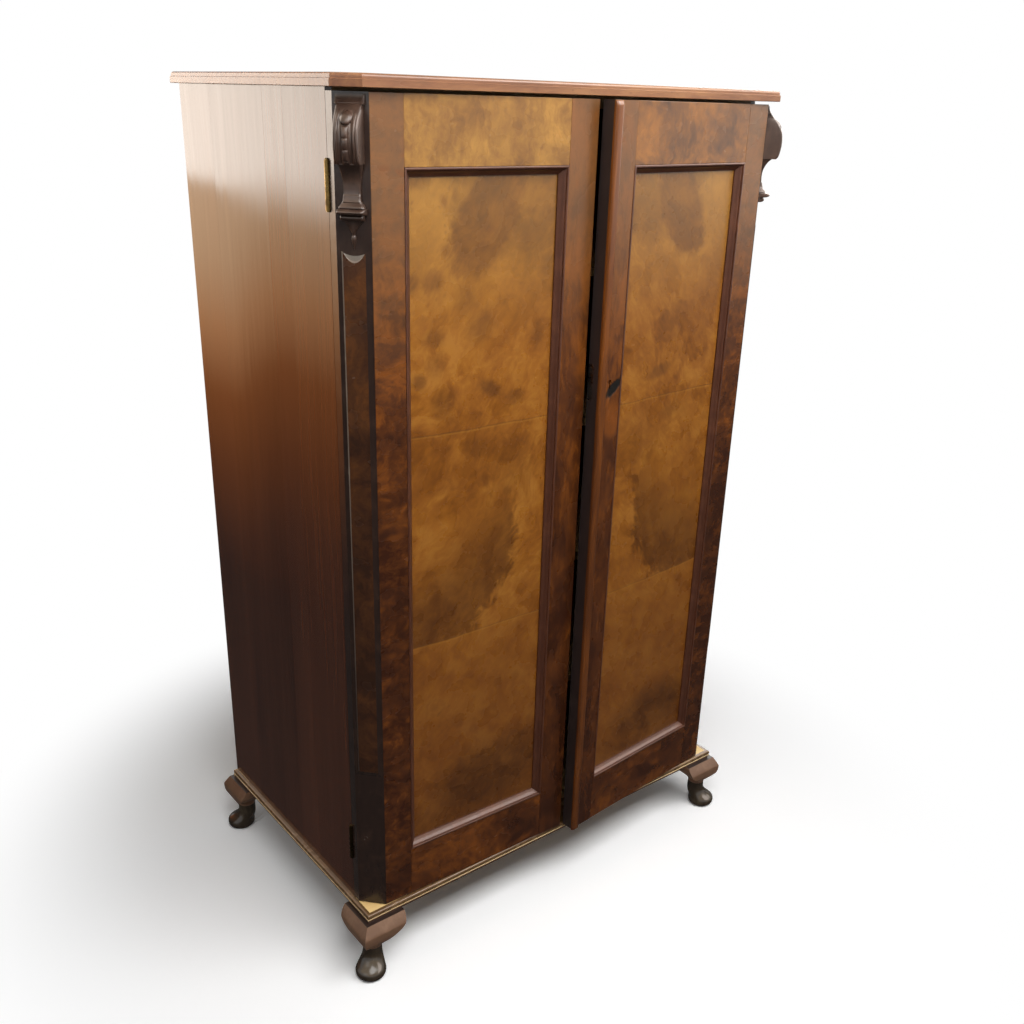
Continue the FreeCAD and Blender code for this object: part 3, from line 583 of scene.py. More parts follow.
# Clouds shared by the two panels, as the leaves of a matched pair, and each panel's own
PANEL_CLOUDS = clouds(
    (1, 0.38, 0.92, 0.24, 0.24, 0.0, 0.06, 0.75), (1, 0.36, 1.06, 0.34, 0.19, -32.0, 0.4, -0.95),
    (2, 0.22, 1.51, 0.12, 0.062, -56.0, 0.2, 0.68), (2, 0.12, 1.56, 0.16, 0.12, 0.0, 0.4, 0.5),
    (1, 0.15, 1.05, 0.055, 0.06, 0.0, 0.8, 0.25), (1, 0.243, 1.098, 0.03, 0.018, 15.0, 0.6, 0.35),
    (0, 0.22, 0.27, 0.32, 0.07, 0.0, 0.8, 0.6),
)
LEFT_CLOUDS = PANEL_CLOUDS + clouds(
    (2, 0.375, 1.572, 0.035, 0.02, 0.0, 0.5, 0.5), (2, 0.336, 1.405, 0.02, 0.018, 0.0, 0.6, 0.65),
    (2, 0.376, 1.406, 0.014, 0.013, 0.0, 0.6, 0.5), (2, 0.267, 1.37, 0.022, 0.024, 0.0, 0.7, 0.4),
    (2, 0.332, 1.309, 0.024, 0.016, 0.0, 0.6, 0.5), (2, 0.329, 1.262, 0.02, 0.022, 20.0, 0.7, 0.4),
    (2, 0.362, 1.236, 0.015, 0.014, 0.0, 0.5, 0.7), (2, 0.314, 1.192, 0.022, 0.026, 0.0, 0.7, 0.5),
    (2, 0.213, 1.206, 0.026, 0.012, 25.0, 0.6, 0.7), (2, 0.156, 1.184, 0.018, 0.014, 0.0, 0.7, 0.5),
    (2, 0.236, 1.321, 0.024, 0.032, 35.0, 0.7, 0.55), (2, 0.107, 1.296, 0.012, 0.02, 0.0, 0.7, 0.45),
    (0, 0.19, 0.37, 0.135, 0.08, -8.0, 0.5, 0.9),
)
RIGHT_CLOUDS = PANEL_CLOUDS + clouds(
    (2, 0.24, 1.42, 0.24, 0.26, 0.0, 0.3, 0.13), (2, 0.195, 1.19, 0.035, 0.013, 10.0, 0.6, 0.6),
    (2, 0.23, 1.29, 0.06, 0.04, 30.0, 0.8, 0.35), (0, 0.28, 0.365, 0.135, 0.062, 0.0, 0.5, 0.85),
)
STILE_SCARS = (
    (Cloud(0, 0.053, 1.118, 0.021, 0.036, 0.0, 0.25, 0.9), (0.19, 0.052, 0.006)),
    (Cloud(0, 0.051, 1.18, 0.027, 0.0105, 37.0, 0.25, 1.0), (0.006, 0.0045, 0.0035)),
)

LEFT_BURR = BurrWalnut("burr_walnut_left", clouds=LEFT_CLOUDS, ajar=0.0026, seed=0.37)
RIGHT_BURR = BurrWalnut("burr_walnut_right", clouds=RIGHT_CLOUDS, ajar=0.009, seed=1.71, eye_share=0.4)
# Stile veneers carry painted shade towards the floor and a painted sheen near the top
LEFT_STILE_VENEER = FiguredWalnut(
    "left_meeting_stile_veneer", lightness=0.06, eye_share=0.35, fall=0.165, painted_sheen=0.5, seed=0.4
)
RIGHT_STILE_VENEER = replace(
    LEFT_STILE_VENEER, name="right_meeting_stile_veneer", scars=STILE_SCARS, seed=1.3
)
# The hinge stiles carry a stronger painted sheen near the top
HINGE_VENEER = replace(
    LEFT_STILE_VENEER, name="hinge_stile_veneer", blotch=26.0, draw=(0.75, 1.0, 1.2), eye_share=0.5,
    painted_sheen=0.6, seed=2.6,
)
TOP_RAIL_VENEER = FiguredWalnut(
    "top_rail_veneer", deep=(0.15, 0.06, 0.015), body=(0.235, 0.102, 0.02), light=(0.36, 0.17, 0.032),
    draw=(0.8, 1.0, 1.0), lightness=0.03, eye_share=0.3, seed=4.4,
)
RIGHT_RAIL_VENEER = FiguredWalnut(
    "right_top_rail_veneer", deep=(0.075, 0.03, 0.011), body=(0.155, 0.06, 0.016),
    light=(0.28, 0.105, 0.019), draw=(0.8, 1.0, 1.0), eye_share=0.4, seed=8.3,
)
BOTTOM_RAIL_VENEER = FiguredWalnut("bottom_rail_veneer", draw=(0.6, 1.0, 1.0), lightness=-0.03, seed=7.7)
# The bead carries painted shade towards the floor
BEAD_WALNUT = FiguredWalnut(
    "bead_walnut", specular=0.5, draw=(1.0, 1.0, 0.12), lightness=0.14, eye_share=0.1, fall=0.2, seed=3.1
)
TOP_WALNUT = FiguredWalnut(
    "top_walnut", specular=0.5, deep=(0.13, 0.05, 0.023), body=(0.22, 0.085, 0.034),
    light=(0.31, 0.135, 0.05), blotch=16.0, draw=(0.12, 1.0, 1.0), eye_share=0.1, seed=5.9,
)
TOP_FACE = replace(TOP_WALNUT, name="top_face_walnut", gloss=0.62, specular=0.08)
# The field veneer carries a little painted shade towards the floor
FIELD_VENEER = FiguredWalnut(
    "post_field_veneer", gloss=0.24, specular=0.5, deep=(0.034, 0.0125, 0.0055), body=(0.07, 0.0245, 0.008),
    light=(0.125, 0.042, 0.01), draw=(0.7, 0.7, 1.0), lightness=-0.01, eye_share=0.1, fall=0.1, seed=6.2,
)
SIDE_WALNUT = BoardWalnut("side_walnut")
MOULDING_WALNUT = RubbedWalnutOrPaintedLight(
    "moulding_walnut", gloss=0.38, specular=0.42, dark=(0.068, 0.0205, 0.009), rubbed_or_highlight=(0.16, 0.052, 0.021)
)
POST_STAIN = RubbedWalnutOrPaintedLight("post_stain", gloss=0.22, wear_or_highlight=0.2)
# Painted highlight: the pale grey crescent at the head of each post field
CRESCENT_PAINTED_HIGHLIGHT = RubbedWalnutOrPaintedLight("crescent_painted_highlight", dark=(0.1, 0.08, 0.062), rubbed_or_highlight=(0.2, 0.165, 0.13))
# Painted highlight: pale line on the field's arris, dimming lower down
ARRIS_PAINTED_HIGHLIGHT = RubbedWalnutOrPaintedLight(
    "arris_painted_highlight", dark=(0.16, 0.115, 0.085), rubbed_or_highlight=(0.34, 0.27, 0.2), wear_or_highlight=0.5, fade=0.95
)
FASCIA_STAIN = RubbedWalnutOrPaintedLight("fascia_stain", dark=(0.075, 0.027, 0.012), rubbed_or_highlight=(0.17, 0.062, 0.022))
# Painted shade: near-black ledge on top of each foot, under the plinth
KNEE_TOP_PAINTED_SHADE = RubbedWalnutOrPaintedLight(
    "knee_top_painted_shade", gloss=0.4, dark=(0.015, 0.0055, 0.004), rubbed_or_highlight=(0.035, 0.014, 0.009)
)
PAD_STAIN = RubbedWalnutOrPaintedLight("pad_stain", gloss=0.2, dark=(0.036, 0.025, 0.0165), rubbed_or_highlight=(0.16, 0.115, 0.066))
# Painted shade: near-black finish on the meeting edge, which stands in the gap between the doors
MEETING_EDGE_PAINTED_SHADE = RubbedWalnutOrPaintedLight("meeting_edge_painted_shade", gloss=0.45, dark=(0.02, 0.012, 0.011), rubbed_or_highlight=(0.04, 0.02, 0.015))
CARVING_STAIN = RubbedWalnutOrPaintedLight(
    "carving_stain", gloss=0.32, dark=(0.04, 0.021, 0.0145), rubbed_or_highlight=(0.14, 0.075, 0.048)
)
PLINTH_STAIN = RubbedWalnutOrPaintedLight(
    "plinth_stain", gloss=0.26, dark=(0.13, 0.066, 0.026), rubbed_or_highlight=(0.32, 0.185, 0.07), wear_or_highlight=0.5
)
FOOT_STAIN = RubbedWalnutOrPaintedLight(
    "foot_stain", gloss=0.36, dark=(0.19, 0.094, 0.05), rubbed_or_highlight=(0.36, 0.21, 0.125), wear_or_highlight=0.3
)
# Painted highlight: pale line along the plinth's small bead
BEAD_PAINTED_HIGHLIGHT = BareWood("bead_line_painted_highlight", gloss=0.4, pale=(0.72, 0.52, 0.27), dark=(0.5, 0.33, 0.15))
BARE_CORNER = BareWood("bare_corner_wood", gloss=0.6, pale=(0.86, 0.6, 0.25), dark=(0.72, 0.45, 0.16))
INNER_ACROSS = BareWood("inner_wood_across")
INNER_UPRIGHT = BareWood("inner_wood_upright", grain=(60.0, 60.0, 2.0))
INNER_DEEP = BareWood("inner_wood_deep", grain=(60.0, 2.0, 60.0))
BRASS = AgedMetal("aged_brass", low_darkening=0.85)
STEEL = AgedMetal("aged_steel", bright=(0.14, 0.13, 0.125), dull=(0.05, 0.046, 0.043))


# Surfaces


@dataclass
class Shell:
    """Points and faces of one or more surfaces, with a finish number for each face."""

    points: Array
    faces: list[list[int]]
    tags: list[int]

    def __add__(self, other: "Shell") -> "Shell":
        """Both surfaces in one."""
        moved = [[index + len(self.points) for index in face] for face in other.faces]
        return Shell(np.vstack([self.points, other.points]), self.faces + moved, self.tags + other.tags)


def lofted(sections: Array, ring: bool = False, tags: Array | int = 0) -> Shell:
    """Join closed sections into a skin: point (i, j) is joined to (i + 1, j) and (i, j + 1).

    Args:
        sections: Rows of closed outlines, shaped (rows, columns, 3).
        ring: Join the last section to the first instead of capping the ends.
        tags: Finish number of the face after each row and column; the caps have the first.

    Returns:
        The closed surface.
    """
    rows, columns = sections.shape[:2]
    i, j = np.meshgrid(np.arange(rows if ring else rows - 1), np.arange(columns), indexing="ij")
    after, beside = (i + 1) % rows, (j + 1) % columns
    quad = [i * columns + j, i * columns + beside, after * columns + beside, after * columns + j]
    faces = np.stack(quad, axis=-1).reshape(-1, 4).tolist()
    numbers = np.broadcast_to(tags, i.shape).ravel().tolist()
    if not ring:
        faces += [list(range(columns))[::-1], list(range((rows - 1) * columns, rows * columns))]
        numbers += [0, 0]
    return Shell(sections.reshape(-1, 3), faces, numbers)


def mitred(corners: Array, profile: Array, up: Array) -> Array:
    """Carry a profile round a closed path of straight runs.

    At each corner the profile's first value is laid along (n1 + n2) / (1 + n1.n2), where n1 and n2 are the
    inward normals of the two runs, and its second value along up.

    Args:
        corners: Corner points in order, anticlockwise as seen from the end of up.
        profile: Pairs of inward distance and rise.
        up: Unit normal of the path's plane.

    Returns:
        Sections shaped (corners, profile, 3).
    """
    runs = np.roll(corners, -1, axis=0) - corners
    runs /= np.linalg.norm(runs, axis=1, keepdims=True)
    inward = np.cross(up, runs)
    before = np.roll(inward, 1, axis=0)
    mitre = (inward + before) / (1 + np.sum(inward * before, axis=1, keepdims=True))
    return corners[:, None] + profile[None, :, :1] * mitre[:, None] + profile[None, :, 1:] * up


def arc_points(centre: Pair, radius: float, start: float, end: float, count: int) -> Array:
    """Points on an arc: centre + radius (cos a, sin a), with a in degrees from start to end."""
    angle = np.radians(np.linspace(start, end, count))
    return np.array(centre) + radius * np.stack([np.cos(angle), np.sin(angle)], axis=1)


def smooth_curve(knots: Knots, count: int) -> Array:
    """Smooth line through knots, by the Catmull-Rom formula on evenly spaced values.

    Args:
        knots: Pairs of values.
        count: How many points the line has.

    Returns:
        The line's points.
    """
    knot = np.array(knots, float)
    padded = np.vstack([2 * knot[0] - knot[1], knot, 2 * knot[-1] - knot[-2]])
    value = np.linspace(0, len(knot) - 1, count)
    index = np.minimum(value.astype(int), len(knot) - 2)
    t = (value - index)[:, None]
    a, b, c, d = (padded[index + k] for k in range(4))
    return 0.5 * (2 * b + (c - a) * t + (2 * a - 5 * b + 4 * c - d) * t**2 + (3 * b - a - 3 * c + d) * t**3)


def read_off(knots: Knots, level: Array, count: int) -> Array:
    """First value of the smooth line through knots where its second value is at a level.

    Args:
        knots: Pairs of values.
        level: Where the line is read.
        count: How many points the line has.

    Returns:
        The values.
    """
    line = smooth_curve(knots, count)
    line = line[np.argsort(line[:, 1])]
    return np.interp(level, line[:, 1], line[:, 0])


def dome(square: Array) -> Array:
    """Half-round rise: the root of 1 less the square of a distance, and 0 beyond 1."""
    return np.sqrt(np.clip(1 - square, 0, 1))


# Pieces

MERGE_DISTANCE = 0.002 * MM
FLAT_ANGLE = 0.5
SOLID_SHARP_ANGLE = 30.0
EASED_ANGLE = 35.0
EASED_SEGMENTS = 2


class Slot(Enum):
    """Kinds of wood that a new piece can be of."""

    POLISHED = "polished_walnut"
    DARK = "dark_walnut"
    RED = "red_walnut"


def points_of(mesh: bpy.types.Mesh) -> Array:
    """Points of a mesh, one in each row.

    Args:
        mesh: The mesh.

    Returns:
        The points.
    """
    flat = np.empty(3 * len(mesh.vertices))
    mesh.vertices.foreach_get("co", flat)
    return flat.reshape(-1, 3)


def finish_mesh(mesh: bpy.types.Mesh, sharp: float) -> None:
    """Shade a mesh smooth, but sharp where faces meet at more than an angle.

    Args:
        mesh: The mesh.
        sharp: The angle in degrees.
    """
    mesh.polygons.foreach_set("use_smooth", np.ones(len(mesh.polygons), bool))
    mesh.set_sharp_from_angle(angle=math.radians(sharp))
    mesh.update()


def paint(mesh: bpy.types.Mesh, *finishes: Finish) -> None:
    """Give a mesh finishes in place of those that it has.

    Args:
        mesh: The mesh.
        finishes: The finishes in order.
    """
    mesh.materials.clear()
    for finish in finishes:
        mesh.materials.append(finish.material())


def dress(finish: Finish, *nodes: str) -> None:
    """Give solids whose shape is right a finish.

    Args:
        finish: The finish.
        nodes: The solids' nodes.
    """
    for node in nodes:
        mesh = NODES[node].data
        paint(mesh, finish)
        mesh.polygons.foreach_set("material_index", np.zeros(len(mesh.polygons), np.int32))
        LOG.info("%s: finished in %s", node, finish.name)


def linked(name: str, data: bpy.types.ID) -> bpy.types.Object:
    """Put a new object into the scene.

    Args:
        name: Its name.
        data: Its mesh, light or camera.

    Returns:
        The object.
    """
    made = bpy.data.objects.new(name, data)
    bpy.context.scene.collection.objects.link(made)
    return made


@dataclass(frozen=True)
class Piece:
    """New object that stands for a solid: its node, the new name's ending, body, slot and finishes."""

    node: str
    ending: str
    body: str
    slot: Slot
    finishes: tuple[Finish, ...]

    def settle(self, mesh: bpy.types.Mesh) -> bpy.types.Object:
        """Put a finished mesh into the scene as this piece.

        Args:
            mesh: The mesh, already in its place.

        Returns:
            The object, riding on its body.
        """
        paint(mesh, *self.finishes)
        made = linked(mesh.name, mesh)
        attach(made, self.body)
        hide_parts(self.node)
        LOG.info("%s: %d faces on %s", made.name, len(mesh.polygons), self.body)
        return made

    def from_shell(self, shell: Shell, sharp: float) -> None:
        """Make the piece from a surface.

        Args:
            shell: Its points and faces.
            sharp: Angle in degrees above which an edge stays crisp.
        """
        mesh = bpy.data.meshes.new(f"{self.node}_{self.ending}")
        mesh.from_pydata(shell.points.tolist(), [], shell.faces)
        work = bmesh.new()
        work.from_mesh(mesh)
        bmesh.ops.recalc_face_normals(work, faces=work.faces)
        work.to_mesh(mesh)
        work.free()
        finish_mesh(mesh, sharp)
        self.settle(mesh)
        mesh.polygons.foreach_set("material_index", np.array(shell.tags, np.int32))

    def eased(self, width: float) -> bpy.types.Mesh:
        """Make the piece from a copy of its solid, with flat faces made whole and every arris eased.

        Args:
            width: How far the easing reaches from each arris, in metres.

        Returns:
            The mesh.
        """
        mesh = bpy.data.meshes.new(f"{self.node}_{self.ending}")
        work = bmesh.new()
        work.from_mesh(NODES[self.node].data)
        bmesh.ops.remove_doubles(work, verts=work.verts, dist=MERGE_DISTANCE)
        flat = math.radians(FLAT_ANGLE)
        bmesh.ops.dissolve_limit(work, angle_limit=flat, verts=work.verts, edges=work.edges)
        work.to_mesh(mesh)
        work.free()
        for layer in [a for a in mesh.attributes if a.name in ("custom_normal", "sharp_face", "sharp_edge")]:
            mesh.attributes.remove(layer)
        finish_mesh(mesh, SOLID_SHARP_ANGLE)
        bevel = self.settle(mesh).modifiers.new("eased_edges", "BEVEL")
        bevel.width, bevel.segments = width, EASED_SEGMENTS
        bevel.limit_method, bevel.angle_limit = "ANGLE", math.radians(EASED_ANGLE)
        bevel.harden_normals = True
        return mesh


# Doors


class Side(Enum):
    """Which side of the press a piece is on."""

    LEFT = "left"
    RIGHT = "right"


@dataclass(frozen=True)
class Hanging:
    """How a door hangs: it is drawn shut on the right, then mirrored and swung to its place at rest."""

    side: Side
    pivot: Triple
    turn: float

    @classmethod
    def of(cls, side: Side) -> "Hanging":
        """Read a door's hanging from its joint, which is shut at its lower limit.

        Args:
            side: Which door.

        Returns:
            Its hanging.
        """
        joint = JOINTS[f"{side.value}_door_swing"]
        turn = -math.radians(joint["range_deg"][0]) * joint["axis"][2]
        return cls(side, (*joint["pos_m"][:2], 0.0), turn)

    def spun(self, points: Array, angle: float) -> Array:
        """Points turned about the hinge line.

        Args:
            points: The points.
            angle: The turn in radians.

        Returns:
            The turned points.
        """
        cosine, sine = math.cos(angle), math.sin(angle)
        turn = np.array([[cosine, -sine, 0.0], [sine, cosine, 0.0], UPWARD])
        return (points - self.pivot) @ turn.T + self.pivot

    def mirrored(self, points: Array) -> Array:
        """Points reflected to the other side for the left door."""
        return points * (-1.0 if self.side is Side.LEFT else 1.0, 1.0, 1.0)

    def at_rest(self, points: Array) -> Array:
        """Drawing coordinates to the place at rest."""
        return self.spun(self.mirrored(points), self.turn)

    def drawn(self, points: Array) -> Array:
        """A place at rest to drawing coordinates."""
        return self.mirrored(self.spun(points, -self.turn))

    def box(self, node: str) -> tuple[Array, Array]:
        """Lowest and highest corner of a solid of this door, in drawing coordinates."""
        points = self.drawn(points_of(NODES[node].data))
        return points.min(axis=0), points.max(axis=0)


@dataclass(frozen=True)
class CantFrame:
    """Axes on the canted face of a corner post: along it, out from it, and down from the door's top."""

    middle: Triple

    @classmethod
    def of(cls, low: Array, high: Array) -> "CantFrame":
        """Find the middle of the cant from the post's box; the cant is as wide as the box."""
        half = (high[0] - low[0]) / 2
        return cls((high[0] - half, low[1] + half, high[2]))

    def lay(self, along: Array, out: Array | float, down: Array) -> Array:
        """Points from cant axes: x grows with along + out, y with along - out, both over the root of 2.

        Args:
            along: Places along the cant.
            out: How far they stand out from it.
            down: How far they are below the door's top.

        Returns:
            The points.
        """
        (x, y, z), root = self.middle, math.sqrt(2)
        places = (x + (along + out) / root, y + (along - out) / root, z - down)
        return np.stack(np.broadcast_arrays(*places), axis=-1)


@dataclass(frozen=True)
class Corbel:
    """Carved bracket at the head of a post; outs and downs are shares of its projection and height.

    Each of the rolls is a row of top, bottom, width, root and swell. The neck's widths are in mm.
    """

    cant: CantFrame
    drop: float = 3.0 * MM
    height: float = 184.0 * MM
    projection: float = 36.5 * MM
    cap_width: float = 46.0 * MM
    scroll_width: float = 40.0 * MM
    pendant_width: float = 33.0 * MM
    pendant_length: float = 24.0 * MM
    drop_length: float = 24.0 * MM
    drop_radius: float = 4.2 * MM
    drop_overlap: float = 3.0 * MM
    neck_step: float = 1.4 * MM
    sharp: float = 50.0
    cap_shares: Pair = (0.0, 0.082)
    scroll_shares: Pair = (0.07, 0.542)
    neck_shares: Pair = (0.53, 0.893)
    step_shares: Pair = (0.79, 0.85)
    rolls: tuple[tuple[float, ...], ...] = (
        (0.882, 0.905, 40.0 * MM, 0.3, 0.12),
        (0.9, 0.95, 45.0 * MM, 0.3, 0.38),
        (0.945, 1.0, 38.0 * MM, 0.2, 0.2),
    )
    bow: Knots = (
        (0.25, 0.075), (0.42, 0.11), (0.7, 0.175), (0.92, 0.255), (1.0, 0.34), (0.985, 0.42), (0.9, 0.505),
        (0.8, 0.54),
    )
    hollow: Knots = (
        (0.6, 0.54), (0.36, 0.585), (0.17, 0.66), (0.14, 0.74), (0.17, 0.8), (0.24, 0.845), (0.42, 0.885)
    )
    neck_widths: Knots = ((0.53, 37.0), (0.6, 33.0), (0.7, 28.0), (0.78, 27.0), (0.84, 29.0), (0.893, 42.0))

    def member(self, down: Array, width: Array | float, out: Array) -> Shell:
        """Close a carved front with its sides and its back on the cant.

        Args:
            down: Drop of each row.
            width: Width of each row.
            out: Front surface, rows by columns across the width.

        Returns:
            The closed member: each row runs from the back, over the front and to the back again.
        """
        across = np.linspace(-0.5, 0.5, out.shape[1]) * np.broadcast_to(width, down.shape)[:, None]
        along = np.pad(across, ((0, 0), (1, 1)), mode="edge")
        return lofted(self.cant.lay(along, np.pad(out, ((0, 0), (1, 1))), down[:, None]))

    def downs(self, start: float, end: float, rows: int) -> tuple[Array, Array]:
        """Evenly spaced shares of the height and their drops below the door's top."""
        share = np.linspace(start, end, rows)
        return share, self.drop + share * self.height

    def reach(self, knots: Knots, share: Array) -> Array:
        """How far a curve through knots stands out at shares of the height."""
        return read_off(knots, share, 240) * self.projection

    @staticmethod
    def shoulder(count: int, power: int, loss: float) -> Array:
        """Share of the out that is left across the width: 1 less a loss times a power of the distance."""
        return 1 - np.abs(np.linspace(-1, 1, count)) ** power * loss

    def cap(self) -> Shell:
        """Flat cap that flares outward: its out grows with the square of the drop.

        Returns:
            The cap.
        """
        share, down = self.downs(*self.cap_shares, 12)
        out = (0.09 + 0.2 * (share / share[-1]) ** 2) * self.projection
        return self.member(down, self.cap_width, out[:, None] * self.shoulder(25, 16, 0.15))

    def scroll(self) -> Shell:
        """Swelling scroll: a bow with rounded sides, a boss, a strand of beads, two hollows and four reeds.

        Returns:
            The scroll.
        """
        share, down = self.downs(*self.scroll_shares, 150)
        level, reach = np.meshgrid(share, np.abs(np.linspace(-1, 1, 101)), indexing="ij")
        fade = np.clip((level - 0.12) / 0.1, 0, 1) * np.clip((0.545 - level) / 0.02, 0, 1) ** 0.5
        reed = dome(((reach - 0.68) / 0.11) ** 2) + dome(((reach - 0.9) / 0.1) ** 2)
        hollow = dome(((reach - 0.42) / 0.15) ** 2)
        bead = (0.2 + 0.8 * np.abs(np.sin(np.pi * (level - 0.25) / 0.09)) ** 0.25) * (level > 0.25)
        strand = dome((reach / 0.26) ** 2) * bead
        boss = dome((reach / 0.5) ** 2 + ((level - 0.185) / 0.056) ** 2)
        relief = (1.7 * reed - 1.8 * hollow + 3.4 * strand) * fade + 6.5 * boss
        out = self.reach(self.bow, share)[:, None] * self.shoulder(101, 10, 0.12)
        return self.member(down, self.scroll_width, out + relief * MM)

    def neck(self) -> Shell:
        """Hollow neck, waisted in width, with a small raised step above its flare.

        Returns:
            The neck.
        """
        share, down = self.downs(*self.neck_shares, 70)
        width = np.interp(share, *np.transpose(self.neck_widths)) * MM
        start, end = self.step_shares
        out = self.reach(self.hollow, share) + ((share > start) & (share < end)) * self.neck_step
        return self.member(down, width, out[:, None] * self.shoulder(31, 12, 0.2))

    def roll(self, top: float, bottom: float, width: float, root: float, swell: float) -> Shell:
        """Half-round member: out is root + swell (1 - t^2)^1/2 with t from -1 to 1 down it, and round ends.

        Args:
            top: Where it starts, as a share of the height.
            bottom: Where it ends.
            width: Its width.
            root: Least out, as a share of the projection.
            swell: What its middle adds.

        Returns:
            The roll.
        """
        t = np.linspace(-1, 1, 17)
        out = (root + swell * dome(t**2)) * self.projection
        end = 0.45 + 0.55 * dome(np.linspace(-1, 1, 61) ** 14)
        return self.member(self.downs(top, bottom, len(t))[1], width, out[:, None] * end)

    def pendant(self) -> Shell:
        """Inverted leaf with hollow sides, whose half-width falls as (1 - t)^1.5, over a tapering drop.

        Returns:
            The leaf and the drop.
        """
        start = self.drop + self.height
        t, side = np.linspace(0, 1, 36), np.linspace(-1, 1, 25)
        width = self.pendant_width * (0.08 + 0.92 * (1 - t) ** 1.5)
        ridge = (5.0 - 1.2 * t)[:, None] * (1 - 0.55 * np.abs(side) ** 1.6) * MM
        leaf = self.member(start + t * self.pendant_length, width, ridge)
        swell = np.sin(np.pi * t**0.55) * 0.85 + 0.15 * (1 - t)
        girth = 2 * self.drop_radius * np.maximum(swell, 0.06)
        start += self.pendant_length - self.drop_overlap
        round_out = girth[:, None] * 0.5 * dome(side**2) + 0.4 * MM
        return leaf + self.member(start + t * self.drop_length, girth, round_out)

    def shell(self) -> Shell:
        """All carved members together.

        Returns:
            Their surfaces.
        """
        members = (self.scroll(), self.neck(), *(self.roll(*row) for row in self.rolls), self.pendant())
        return sum(members, self.cap())


@dataclass(frozen=True)
class PostField:
    """Raised field on the cant, with chamfered edges and a scooped upper end; low and high are drops."""

    cant: CantFrame
    low: float
    high: float
    width: float = 54.0 * MM
    proud: float = 2.5 * MM
    chamfer: float = 8.5 * MM
    scoop: float = 9.0 * MM
    crescent: float = 11.0 * MM
    arris: float = 2.2 * MM
    sharp: float = 6.0

    def rim(self, half: float, low: float, horn: float, sag: float, share: float) -> Array:
        """Closed rim: two lower corners, then the upper end as a parabola that sags between its horns.

        Args:
            half: Half the rim's width.
            low: Drop of the lower end.
            horn: Drop of the two horns.
            sag: How much lower the parabola's middle is.
            share: How far the rim stands out, as a share of the field's.

        Returns:
            The rim's points.
        """
        curve = np.linspace(half, -half, 41)
        along = np.concatenate([[-half, half], curve])
        down = np.concatenate([[low, low], horn + sag * (1 - (curve / half) ** 2)])
        return self.cant.lay(along, share * self.proud, down)

    def shell(self) -> Shell:
        """Foot, shoulder and face of the field.

        Returns:
            The surface, with stained sides, and painted highlights on the crescent at its head and on the
            arris.
        """
        half, low, arris = self.width / 2, self.low - self.chamfer, self.arris
        narrow, horn = half - self.chamfer, self.high + 0.4 * self.chamfer
        sag = self.high + self.scoop + self.crescent - horn
        rims = [self.rim(half, self.low, self.high, self.scoop, share) for share in (0.0, 0.2)]
        rims.append(self.rim(narrow + arris, low, horn - 0.4 * arris, sag - arris, 0.75))
        rims.append(self.rim(narrow, low, horn, sag, 1.0))
        tags = np.ones((len(rims) - 1, len(rims[0])), int)
        # The crescent at the head and the arris round the face are painted pale, as painted highlights
        tags[1, 2:-1], tags[2, 1:-1] = 2, 3
        return lofted(np.stack(rims), tags=tags)


